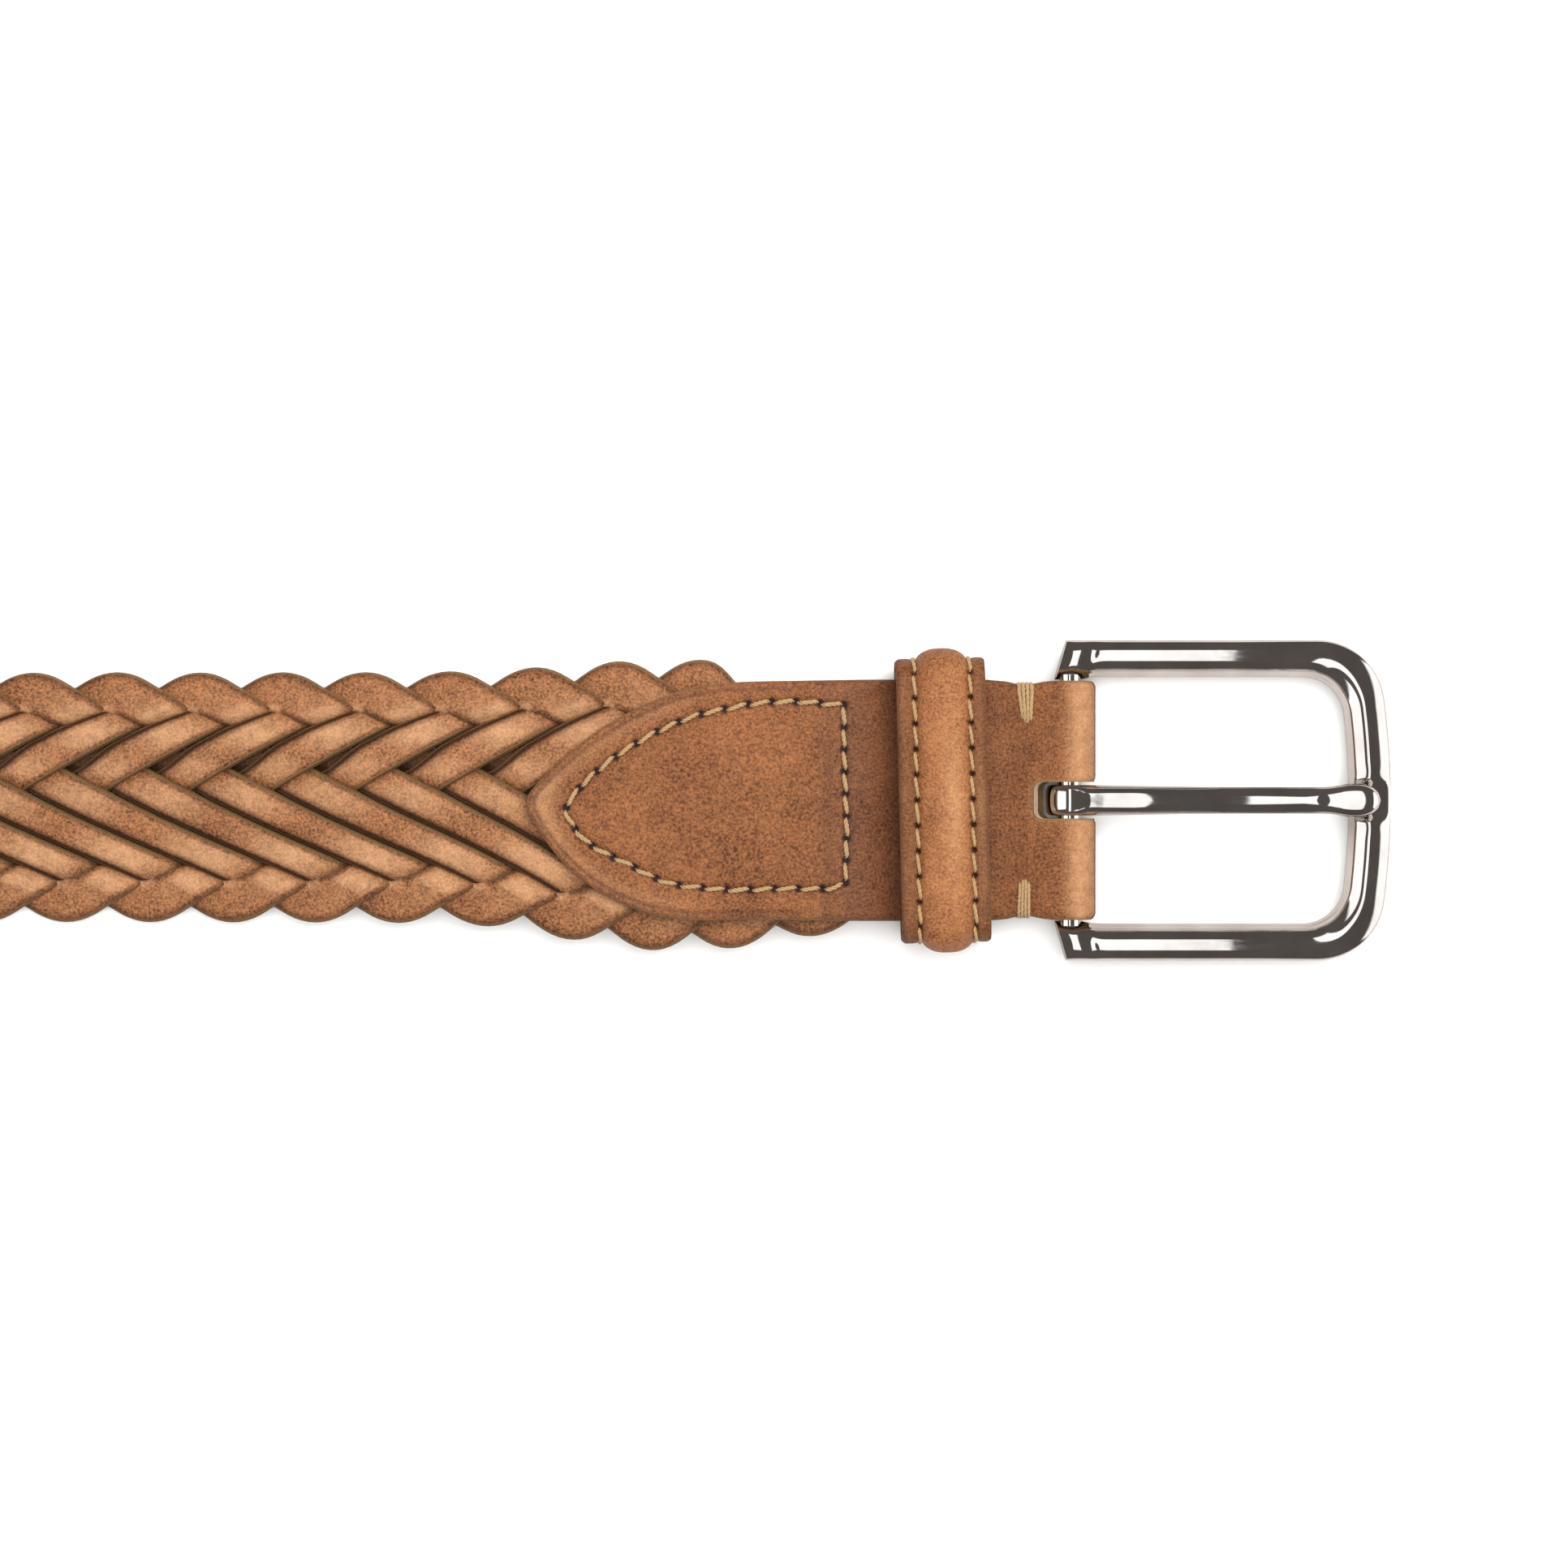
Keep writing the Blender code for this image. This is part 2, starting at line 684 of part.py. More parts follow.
def build_keeper(leather, padding, parent):
    ring = keeper_ring()
    half = KEEPER_WIDTH / 2
    inner = LINING + GAP
    outer = inner + BAND
    band = [
        (-half, inner, 0), (-PAD_FOOT, inner, 0), (-PAD_TOP, inner, 1),
        (PAD_TOP, inner, 1), (PAD_FOOT, inner, 0), (half, inner, 0),
        (half, outer, 0), (PAD_FOOT, outer, 0), (PAD_TOP, outer, 1),
        (-PAD_TOP, outer, 1), (-PAD_FOOT, outer, 0), (-half, outer, 0),
    ]
    lining_half = half - 0.2 * MM
    lining = [(-lining_half, 0, 0), (lining_half, 0, 0), (lining_half, LINING, 0), (-lining_half, LINING, 0)]
    core_low = inner
    core_half = PAD_TOP - 0.2 * MM
    core = [
        (-core_half, core_low, 0), (core_half, core_low, 0),
        (core_half - 0.4 * MM, inner - GAP, 0.999), (0.4 * MM - core_half, inner - GAP, 0.999),
    ]
    front = ring[1:7]
    for name, profile, path, closed, finish in (
        ("keeper_band", band, ring, True, leather),
        ("keeper_lining", lining, ring, True, leather),
        ("keeper_core", core, front, False, padding),
    ):
        mesh = loft(keeper_sections(profile, path), closed)
        mesh.materials.append(finish)
        place(name, mesh, parent)


def build_keeper_threads(finish, parent):
    height = KEEPER_HIGH + LINING + GAP + BAND + GAP + THREAD_RADIUS
    reach = KEEPER_HALF - KEEPER_CORNER
    for name, x in (("keeper_thread_left", -KEEPER_SEAM), ("keeper_thread_right", KEEPER_SEAM)):
        mesh = wire([(x, y, height) for y in spread(-reach, reach, 4)])
        mesh.materials.append(finish)
        place(name, mesh, parent)


# ---------------------------------------------------------------- assembly


def build_belt():
    for old in list(bpy.data.objects):
        bpy.data.objects.remove(old)
    bpy.context.scene.collection.children.link(belt)
    bpy.context.scene.collection.children.link(cutters)

    tan = material("tan_leather", (0.37, 0.17, 0.08), 0.5)
    chape_tan = material("smooth_leather", (0.32, 0.13, 0.06), 0.45)
    keeper_tan = material("keeper_leather", (0.42, 0.20, 0.09), 0.4)
    felt = material("padding_felt", (0.25, 0.20, 0.15), 0.9)
    cream = material("cream_thread", (0.60, 0.42, 0.24), 0.7)
    nickel = material("polished_nickel", (0.72, 0.70, 0.68), 0.12, 1.0)

    strap = empty("strap", (BAR_X, 0, 0))
    hinge = empty("bar_axis", (BAR_X, 0, BAR_Z))
    slider = empty("keeper_place", (BAR_X + KEEPER_X, 0, 0), KEEPER_TILT)

    for number in range(STRANDS):
        build_strand(number, tan, strap)
    build_chape(chape_tan, strap)
    build_chape_thread(cream, strap)
    build_bar_tack("bar_tack_top", 1, cream, strap)
    build_bar_tack("bar_tack_bottom", -1, cream, strap)
    build_tip(chape_tan, strap)
    build_tip_thread(cream, strap)
    build_frame(nickel, hinge)
    build_prong(nickel, hinge)
    build_keeper(keeper_tan, felt, slider)
    build_keeper_threads(cream, slider)


build_belt()
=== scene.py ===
"""Looks for the braided leather belt: leather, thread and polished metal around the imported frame.

Lengths are in millimetres, measured from the axis of the buckle's bar (x), from the belt's centre
line (y) and from the table (z). make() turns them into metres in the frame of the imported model.
"""

import json
import math

import bmesh
import bpy
import numpy as np
from mathutils import Matrix, Vector


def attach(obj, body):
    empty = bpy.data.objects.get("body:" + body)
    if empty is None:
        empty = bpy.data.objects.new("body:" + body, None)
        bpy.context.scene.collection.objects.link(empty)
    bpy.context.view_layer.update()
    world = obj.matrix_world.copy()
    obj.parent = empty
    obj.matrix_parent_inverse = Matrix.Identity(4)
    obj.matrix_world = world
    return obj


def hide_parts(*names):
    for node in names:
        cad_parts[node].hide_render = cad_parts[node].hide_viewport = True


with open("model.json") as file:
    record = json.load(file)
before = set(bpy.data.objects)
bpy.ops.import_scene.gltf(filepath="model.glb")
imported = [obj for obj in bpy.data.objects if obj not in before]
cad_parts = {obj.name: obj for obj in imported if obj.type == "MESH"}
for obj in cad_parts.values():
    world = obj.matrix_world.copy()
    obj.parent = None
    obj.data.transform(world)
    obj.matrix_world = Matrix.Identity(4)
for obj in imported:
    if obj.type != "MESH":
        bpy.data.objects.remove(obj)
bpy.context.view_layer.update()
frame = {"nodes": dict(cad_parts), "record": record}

BAR_X = frame["record"]["behaviour"]["joints"][0]["pos_m"][0]
MM = 0.001
RNG = np.random.default_rng(11)

# The braid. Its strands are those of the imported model, with a finer course
STRANDS = 10
PITCH = 11.9
LOOP_SHIFT = 0.60
LATTICE_HALF = 15.5
CREST = 1.9  # how far a loop bulges out of the edge
LEAN = 0.54
PASSES = "OUUUOOOOU"  # over or under at each crossing on the way from the upper edge to the lower
PASS_HALF = 0.34  # half of the length of a step between two passes, in crossings
BEND = 0.28  # how far the strands run ahead of their straight lines away from the edges, in pitches
BEND_TOP = (0.0, 2.2)  # where the bend begins and ends, in crossings from the upper edge
BEND_LOW = (5.2, 9.2)
MIDDLE_LIFT = 1.05  # how far the middle of the braid lies towards the upper edge
BRAID_LIFT = 0.35
LEVEL = 0.95  # how far a strand's middle lies over or under the braid's middle
STRAND_THICKNESS = 1.5
BRAID_HALF = LEVEL + STRAND_THICKNESS / 2
GAP = 0.3

# The chape
LEATHER = 1.5
CHAPE_BOTTOM = 2.4
CHAPE_POINT = -76.7
CHAPE_ARCH = 28.7
CHAPE_SLOPE = (-31.5, -21.5)
HALF_WIDTH = 16.6
FOLD_START = -10.0
FOLD_INNER = 2.2
SLOT_END = -5.2
SLOT_HALF = 2.6
SLOT_CORNER = 1.2
SLOT_FLAT = 1.4  # half of the straight part of the slot's end
SLOT_SLANT = 0.5  # how much further back the front slot's end lies for each millimetre down
SLOT_TOP = 6.7
SLOT_BACK_END = -3.65
DIMPLE = (-5.1, 7.1)  # a small hollow in the neck
SHIELD_PITCH = 3.35  # of the stitches round the shield
RIGHT_PITCH = 3.25  # of those across the belt
CHAPE_BACK_TOP = CHAPE_BOTTOM + LEATHER
CHAPE_FRONT_LOW = CHAPE_BACK_TOP + GAP
CHAPE_FRONT_HIGH = CHAPE_FRONT_LOW + 2 * BRAID_HALF + GAP
BRAID_RIGHT = -31.5

# The tip
TIP_LEATHER = 1.4
TIP_END = -1000.0
TIP_ARCH = 25.0
TIP_SHIELD = -775.0
TIP_SLOPE = (-821.0, -833.0)
TIP_NOSE = 9.0
TIP_MARGIN = 3.2  # from the edge to the seam
TIP_PITCH = 3.3  # of the stitches
TIP_FRONT_LOW = TIP_LEATHER + GAP
TIP_FRONT_HIGH = TIP_FRONT_LOW + 2 * BRAID_HALF + GAP
BRAID_LEFT = -824.0
HOLES = 5
HOLE_PITCH = 25.0
LAST_HOLE = 60.0
HOLE_RADIUS = 2.3

# How the braid lies
SQUEEZE = 0.75
SQUEEZE_LENGTH = 6.0
RISE_TO_CHAPE = (-135.0, -80.0)
RISE_TO_TIP = (-740.0, -772.0)
FLARE = 0.16  # how much wider the braid is where it goes under the chape
FLARE_X = -55.0
FLARE_REACH = 36.0
SAG = -1.2  # how far the braid sinks sideways at the chape
TUCK = 2.8  # how far the last loops of the upper edge are drawn in under the chape
TUCK_X = (-51.0, -43.0)

# The buckle
BAR_Z = 4.2
BAR_RADIUS = 1.7
FRAME_REACH = 45.5
FRAME_HALF = 22.7
FRAME_CORNER = 9.6
WINDOW_REACH = 39.7
WINDOW_HALF = 17.5
WINDOW_CORNER = 5.9
END_CURVE = 110.0
FRAME_HIGH = 6.4

# The keeper
KEEPER_X = -18.1
KEEPER_TILT = math.radians(1.45)
KEEPER_WIDTH = 12.5
KEEPER_HALF = 17.95
KEEPER_LOW = 2.1
KEEPER_HIGH = 9.9
KEEPER_CORNER = 1.2
LINING = 0.7
BAND = 1.1
PADDING = 1.4
PAD_FOOT = 3.2
PAD_TOP = 2.0


# ---- numbers


def smoothstep(x, start, end):
    t = np.clip((np.asarray(x, float) - start) / (end - start), 0, 1)
    return t * t * (3 - 2 * t)


def bump(x, centre, reach):
    return np.exp(-(((np.asarray(x, float) - centre) / reach) ** 2))


def polyline_distance(points, line):
    """Distance from each (x, y) to a polyline."""
    nearest = np.full(len(points), 1e9)
    for start, step in zip(line[:-1], np.diff(line, axis=0)):
        t = np.clip(((points - start) @ step) / max(step @ step, 1e-12), 0, 1)
        nearest = np.minimum(nearest, np.hypot(*(points - start - t[:, None] * step).T))
    return nearest


def rounded(points, steps):
    """A Catmull-Rom curve through the points."""
    p = np.asarray(points, float)
    p = np.vstack([2 * p[0] - p[1], p, 2 * p[-1] - p[-2]])
    out = []
    for a, b, c, d in zip(p[:-3], p[1:-2], p[2:-1], p[3:]):
        square, cube = 2 * a - 5 * b + 4 * c - d, 3 * b - a - 3 * c + d
        out += [0.5 * (2 * b + (c - a) * t + square * t**2 + cube * t**3) for t in np.arange(steps) / steps]
    return np.array(out + [p[-2]])


def arc_lengths(path):
    return np.concatenate(([0], np.cumsum(np.linalg.norm(np.diff(path, axis=0), axis=1))))


def at_length(path, lengths, where):
    return np.stack([np.interp(where, lengths, line) for line in path.T], -1)


def unit(vectors):
    return vectors / np.linalg.norm(vectors, axis=1)[:, None]


def wear_and_shade_colour(raw, light, dark):
    """What leather() reads: shares of raw cut edge, of pale leather, which is painted highlight on rubbed
    places, and of dark leather, which is mostly painted shade.
    """
    return np.clip(np.stack(np.broadcast_arrays(raw, light, dark), -1), 0, 1)


# ---- meshes


def loft(rings, cyclic=False):
    """Vertices and faces skinned over rings of equal length. Open lofts get end caps."""
    count, size, _ = rings.shape
    index = np.arange(count * size).reshape(count, size)
    first = index if cyclic else index[:-1]
    second = np.roll(index, -1, 0) if cyclic else index[1:]
    quads = np.stack([first, np.roll(first, -1, 1), np.roll(second, -1, 1), second], -1)
    faces = quads.reshape(-1, 4).tolist()
    if not cyclic:
        faces.append(index[0][::-1].tolist())
        faces.append(index[-1].tolist())
    return rings.reshape(-1, 3), faces


def mesh_object(name, parts, finish, wear_and_shading=None, turn=None, weld=0.0):
    """An object from (vertices, faces) parts in millimetres, with its faces turned outwards."""
    vertices, faces, start = [], [], 0
    for part_vertices, part_faces in parts:
        vertices.append(part_vertices)
        faces += [[i + start for i in face] for face in part_faces]
        start += len(part_vertices)
    points = np.concatenate(vertices) * MM
    if turn is not None:
        points = points @ np.array(turn.to_3x3()).T + np.array(turn.translation)
    points = points + np.array([BAR_X, 0, 0])
    mesh = bpy.data.meshes.new(name)
    mesh.from_pydata(points.tolist(), [], faces)
    # the point colours carry raw cut edges and rubbed places, and also painted highlight and painted shade
    if wear_and_shading is not None:
        layer = mesh.attributes.new("wear_and_shading", "FLOAT_COLOR", "POINT")
        rgba = np.ones((len(points), 4), np.float32)
        rgba[:, :3] = wear_and_shading
        layer.data.foreach_set("color", rgba.ravel())
    bm = bmesh.new()
    bm.from_mesh(mesh)
    if weld:
        bmesh.ops.remove_doubles(bm, verts=bm.verts, dist=weld)
    bmesh.ops.recalc_face_normals(bm, faces=bm.faces)
    bm.to_mesh(mesh)
    bm.free()
    mesh.materials.append(finish)
    made = bpy.data.objects.new(name, mesh)
    bpy.context.scene.collection.objects.link(made)
    return made


def soften(mesh, angle):
    mesh.shade_smooth()
    mesh.set_sharp_from_angle(angle=math.radians(angle))


def make(name, parts, finish, body, replaces=(), wear_and_shading=None, smooth_angle=50, turn=None):
    """One piece that rides on a body."""
    piece = mesh_object(name, parts, finish, wear_and_shading, turn, weld=2e-6)
    soften(piece.data, smooth_angle)
    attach(piece, body)
    if replaces:
        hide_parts(*replaces)
    return piece


def combine(piece, operation, parts, finish):
    """Cuts or adds closed shapes and keeps the result as the piece's own mesh."""
    cutter = mesh_object("cutter", parts, finish)
    step = piece.modifiers.new("step", "BOOLEAN")
    step.operation = operation
    step.solver = "EXACT"
    step.material_mode = "TRANSFER"
    step.object = cutter
    graph = bpy.context.evaluated_depsgraph_get()
    result = bpy.data.meshes.new_from_object(piece.evaluated_get(graph))
    piece.modifiers.clear()
    piece.data = result
    bpy.data.objects.remove(cutter)
    soften(result, 40)


def stitches(name, parts, body="strap", replaces=(), turn=None):
    make(name, parts, thread, body, replaces, turn=turn)


# ---- materials


class Graph:
    """Short calls for building one node tree."""

    def __init__(self, tree):
        self.tree = tree

    def node(self, kind, **settings):
        made = self.tree.nodes.new(kind)
        for key, value in settings.items():
            setattr(made, key, value)
        return made

    def feed(self, socket, source):
        if isinstance(source, bpy.types.NodeSocket):
            self.tree.links.new(source, socket)
        else:
            socket.default_value = source

    def math(self, operation, a, b=0.0, clamp=False):
        made = self.node("ShaderNodeMath", operation=operation, use_clamp=clamp)
        self.feed(made.inputs[0], a)
        self.feed(made.inputs[1], b)
        return made.outputs[0]

    def spread(self, value, low, high, out_low=0.0, out_high=1.0, smooth=False):
        made = self.node("ShaderNodeMapRange", interpolation_type="SMOOTHSTEP" if smooth else "LINEAR")
        self.feed(made.inputs["Value"], value)
        limits = {"From Min": low, "From Max": high, "To Min": out_low, "To Max": out_high}
        for name, number in limits.items():
            made.inputs[name].default_value = number
        return made.outputs[0]

    def mix(self, share, a, b, blend="MIX"):
        made = self.node("ShaderNodeMix", data_type="RGBA", blend_type=blend)
        self.feed(made.inputs[0], share)
        self.feed(made.inputs[6], a if isinstance(a, bpy.types.NodeSocket) else (*a, 1))
        self.feed(made.inputs[7], b if isinstance(b, bpy.types.NodeSocket) else (*b, 1))
        return made.outputs[2]

    def place(self):
        return self.node("ShaderNodeTexCoord").outputs["Object"]

    def stretched(self, scale):
        made = self.node("ShaderNodeMapping")
        self.feed(made.inputs["Vector"], self.place())
        made.inputs["Scale"].default_value = scale
        return made.outputs[0]

    def noise(self, size, detail=2.0, roughness=0.5, vector=None):
        """Noise whose features are about size millimetres."""
        made = self.node("ShaderNodeTexNoise")
        self.feed(made.inputs["Vector"], vector or self.place())
        made.inputs["Scale"].default_value = 1 / (size * MM)
        made.inputs["Detail"].default_value = detail
        made.inputs["Roughness"].default_value = roughness
        return made.outputs[0]

    def cells(self, size):
        made = self.node("ShaderNodeTexVoronoi")
        self.feed(made.inputs["Vector"], self.place())
        made.inputs["Scale"].default_value = 1 / (size * MM)
        return made.outputs["Distance"]

    def wear_and_shading(self):
        made = self.node("ShaderNodeAttribute", attribute_name="wear_and_shading")
        parts = self.node("ShaderNodeSeparateColor")
        self.feed(parts.inputs[0], made.outputs["Color"])
        return parts.outputs

    def bump(self, height, strength, depth):
        made = self.node("ShaderNodeBump")
        made.inputs["Strength"].default_value = strength
        made.inputs["Distance"].default_value = depth * MM
        self.feed(made.inputs["Height"], height)
        return made.outputs[0]


def new_material(name):
    made = bpy.data.materials.new(name)
    made.use_nodes = True
    return made, Graph(made.node_tree), made.node_tree.nodes["Principled BSDF"].inputs


def srgb(*colour):
    """Linear values of a colour whose channels are all above 10."""
    return tuple(((c / 255 + 0.055) / 1.055) ** 2.4 for c in colour)


LIT_TO_REFLECTANCE = (0.55, 0.505, 0.445)


def lit_srgb(*colour):
    """A leather colour as it looks under the studio's light, turned into its reflectance."""
    return tuple(c * share for c, share in zip(srgb(*colour), LIT_TO_REFLECTANCE))


def leather(name, deep, pale, light, dark, raw, *, grain, mottle, roughness, contrast, clouds):
    """Waxed leather. grain and mottle are the sizes of its fine and its large pattern, contrast and clouds
    are how strong they are. light, dark and raw come in where the point colours say: light is painted
    highlight on rubbed places, dark is painted shade and raw is the cut edge."""
    made, g, shader = new_material(name)
    deep, pale, light, dark, raw = (lit_srgb(*colour) for colour in (deep, pale, light, dark, raw))
    fine = g.noise(grain, 2, 0.6)
    middle = g.noise(grain * 4.5, 3, 0.55)
    large = g.noise(mottle, 4, 0.6)
    share = g.math("MULTIPLY", g.spread(fine, 0.3, 0.7), 0.62 * contrast)
    share = g.math("ADD", share, 0.5 - 0.31 * contrast)
    share = g.math("ADD", share, g.math("MULTIPLY", g.spread(middle, 0.3, 0.7, -0.5, 0.5), 0.15 * contrast))
    share = g.math("ADD", share, g.math("MULTIPLY", g.spread(large, 0.3, 0.7, -0.5, 0.5), clouds), clamp=True)
    colour = g.mix(share, deep, pale)
    wear_and_shading = g.wear_and_shading()
    # painted highlight on rubbed places: the light colour, broken up by the grain
    rub_and_highlight = g.math("MULTIPLY", wear_and_shading[1], g.spread(middle, 0.25, 0.7, 0.55, 1.0))
    speckled_light = g.mix(g.spread(fine, 0.35, 0.65), tuple(0.80 * c for c in light), light)
    colour = g.mix(rub_and_highlight, colour, speckled_light)
    # painted shade: the dark colour
    colour = g.mix(wear_and_shading[2], colour, dark)
    fibres = g.noise(0.16, 3, 0.7)
    raw_colour = g.mix(g.spread(fibres, 0.3, 0.7), tuple(0.42 * c for c in raw), raw)
    colour = g.mix(wear_and_shading[0], colour, raw_colour)
    g.feed(shader["Base Color"], colour)
    rough = g.spread(middle, 0.3, 0.7, roughness - 0.07, roughness + 0.08)
    rough = g.math("ADD", rough, g.math("MULTIPLY", wear_and_shading[0], 0.35), clamp=True)
    g.feed(shader["Roughness"], rough)
    shader["Specular IOR Level"].default_value = 0.26
    shader["Coat Weight"].default_value = 0.05
    shader["Coat Roughness"].default_value = 0.42
    pebbles = g.math("MULTIPLY", g.spread(g.cells(grain * 1.5), 0.0, 0.7), 0.55)
    height = g.math("ADD", pebbles, g.math("MULTIPLY", fine, 0.6))
    height = g.math("ADD", height, g.math("MULTIPLY", g.math("MULTIPLY", fibres, wear_and_shading[0]), 2.2))
    height = g.math("ADD", height, g.math("MULTIPLY", middle, 0.5))
    g.feed(shader["Normal"], g.bump(height, 0.75, 0.12))
    return made


def fibrous(name, fibres, dark, pale, *, patches, tint, share, roughness, sheen, relief, stretch=(1, 1, 1)):
    """Fine fibres with tinted patches. fibres and patches are sizes and details of noise, relief is
    the strength and the depth of the bumps."""
    made, g, shader = new_material(name)
    fibre = g.noise(*fibres, g.stretched(stretch))
    colour = g.mix(g.spread(fibre, 0.3, 0.7), srgb(*dark), srgb(*pale))
    colour = g.mix(g.spread(g.noise(*patches), 0.3, 0.7, 0.0, share), colour, srgb(*tint))
    g.feed(shader["Base Color"], colour)
    shader["Roughness"].default_value = roughness
    shader["Sheen Weight"].default_value = sheen
    g.feed(shader["Normal"], g.bump(fibre, *relief))
    return made


def metal_material():
    made, g, shader = new_material("polished_plate")
    smudge = g.noise(6.0, 3)
    scratch = g.noise(0.5, 4, 0.7, g.stretched((0.15, 1.0, 1.0)))
    colour = g.mix(g.spread(smudge, 0.3, 0.7), srgb(208, 203, 199), srgb(228, 225, 222))
    g.feed(shader["Base Color"], colour)
    shader["Metallic"].default_value = 1.0
    rough = g.spread(scratch, 0.35, 0.75, 0.035, 0.085)
    g.feed(shader["Roughness"], rough)
    waves = g.math("ADD", g.noise(4.5, 2), g.math("MULTIPLY", scratch, 0.02))
    g.feed(shader["Normal"], g.bump(waves, 0.12, 0.10))
    return made


# In each leather, the third colour is that of painted highlights on rubbed places and the fourth that of
# painted shade.
braid_tan = leather(
    "braid_tan", (84, 44, 20), (202, 140, 96), (240, 190, 148), (50, 25, 12), (172, 142, 100),
    grain=0.36, mottle=8.0, roughness=0.58, contrast=1.5, clouds=0.24,
)
# the chape's purplish fourth colour paints shade together with a painted sheen
chape_tan = leather(
    "chape_tan", (84, 44, 20), (188, 126, 82), (232, 180, 136), (64, 46, 50), (196, 162, 120),
    grain=0.34, mottle=14.0, roughness=0.50, contrast=1.3, clouds=0.34,
)
keeper_tan = leather(
    "keeper_tan", (116, 64, 32), (210, 146, 98), (240, 190, 140), (54, 29, 18), (190, 148, 106),
    grain=0.34, mottle=7.0, roughness=0.47, contrast=1.2, clouds=0.28,
)
thread = fibrous(
    "waxed_thread", (0.09, 3, 0.7), (104, 74, 44), (196, 164, 118), patches=(2.5, 2), tint=(160, 126, 84),
    share=0.35, roughness=0.62, sheen=0.15, relief=(0.6, 0.05), stretch=(1.0, 0.55, 1.0),
)
suede = fibrous(
    "flesh_side", (0.22, 3, 0.7), (118, 92, 66), (186, 156, 120), patches=(3.0, 3), tint=(142, 110, 78),
    share=0.40, roughness=0.92, sheen=0.30, relief=(0.7, 0.10),
)
felt = fibrous(
    "pressed_felt", (0.18, 4, 0.75), (96, 82, 66), (150, 134, 110), patches=(3.0, 3), tint=(120, 106, 86),
    share=0.0, roughness=0.95, sheen=0.0, relief=(0.8, 0.15),
)
metal = metal_material()


# ---- the braid


def squeeze(x):
    right = smoothstep(x, BRAID_RIGHT - SQUEEZE_LENGTH, BRAID_RIGHT)
    left = smoothstep(-x, -BRAID_LEFT - SQUEEZE_LENGTH, -BRAID_LEFT)
    return 1 - (1 - SQUEEZE) * (right + left)


def braid_middle(x):
    in_chape = CHAPE_FRONT_LOW + BRAID_HALF * squeeze(x)
    in_tip = TIP_FRONT_LOW + BRAID_HALF * squeeze(x)
    to_tip = smoothstep(-x, -RISE_TO_TIP[0], -RISE_TO_TIP[1])
    height = BRAID_HALF + (in_chape - BRAID_HALF) * smoothstep(x, *RISE_TO_CHAPE)
    return height + (in_tip - BRAID_HALF) * to_tip


def settle(x, y, height):
    t = np.clip((x - FLARE_X) / FLARE_REACH, -1, 1)
    wide = np.cos(t * math.pi / 2) ** 2
    tuck = TUCK * smoothstep(x, *TUCK_X) * smoothstep(y, 4, 12)
    y = y * (1 + FLARE * wide) + SAG * wide - tuck
    return np.stack([x, y, braid_middle(x) + squeeze(x) * height], -1)


def lattice(u, v, outwards=0.0):
    depth = v - u
    bend = smoothstep(depth, *BEND_LOW) - smoothstep(depth, *BEND_TOP)
    x = PITCH * (u + LEAN * depth + BEND * bend + LOOP_SHIFT)
    y = LATTICE_HALF * (1 - 2 * depth / STRANDS)
    return x, y + np.sign(y) * outwards + BRAID_LIFT + MIDDLE_LIFT * bump(depth, 4.0, 2.8)


def pass_height(depth, going_down):
    """Height of a strand's middle at a depth, with smooth steps between the crossings."""
    sign = 1 if going_down else -1
    levels = [0, *[sign * LEVEL if letter == "O" else -sign * LEVEL for letter in PASSES], 0]
    height = np.zeros_like(depth)
    for i in range(STRANDS):
        step = levels[i + 1] - levels[i]
        height += step * smoothstep(depth, i + 0.5 - PASS_HALF, i + 0.5 + PASS_HALF)
    return height


TOP_EDGE = 0.445  # half of a strand's top face, in strand spacings
FOOT_EDGE = 0.497
TOP_ACROSS = (-1, -0.95, -0.86, -0.7, -0.45, -0.2, 0, 0.2, 0.45, 0.7, 0.86, 0.95, 1)
DOME = 0.50  # how much lower than its middle a strand's top is at its sides
ROLL = 0.22  # how much a strand leans over the one next to it
DEPTH_STEPS = 62
TURN_EASE = 0.46  # how far before its corner an inner edge starts to bend
TURN_STEPS = 21
TURN_STRAIGHT = 0.22  # share of a loop on each side in which its outer edge still runs straight
TURN_RISE = 0.10
LOOP_DRAW = 0.16  # how far the inner corner of a loop is drawn inwards
WIDTH_CHANGE = 0.012  # share by which a strand's width wanders
WIDTH_STEP = 40  # stations between two changes of width


def turn_rows(inner_points, outer_points, heights, flip):
    """Stations round an edge loop. The inner edge follows a short arc, drawn to the middle one of
    its three points. The outer edge runs straight, over the crest and straight again."""
    rows = []
    knots = (0, TURN_STRAIGHT, 1 - TURN_STRAIGHT, 1)
    first, corner, last = np.array(inner_points)
    for f in np.linspace(0, 1, TURN_STEPS)[1:-1]:
        inner = (1 - f) ** 2 * first + 2 * f * (1 - f) * corner + f**2 * last
        outer = [np.interp(f, knots, line) for line in zip(*outer_points)]
        out = CREST * max(1 - ((2 * f - 1) / (1 - 2 * TURN_STRAIGHT)) ** 2, 0)
        mid = math.sin(math.pi * f)
        pair = (*outer, out, *inner, 0.0) if flip else (*inner, 0.0, *outer, out)
        height = np.interp(f, knots, heights) + TURN_RISE * mid
        # the loop's far half gets a painted highlight that grows towards its end
        rows.append((*pair, height, 0.0, 0.30 * f**2, -mid if flip else mid, 0.0))
    return rows


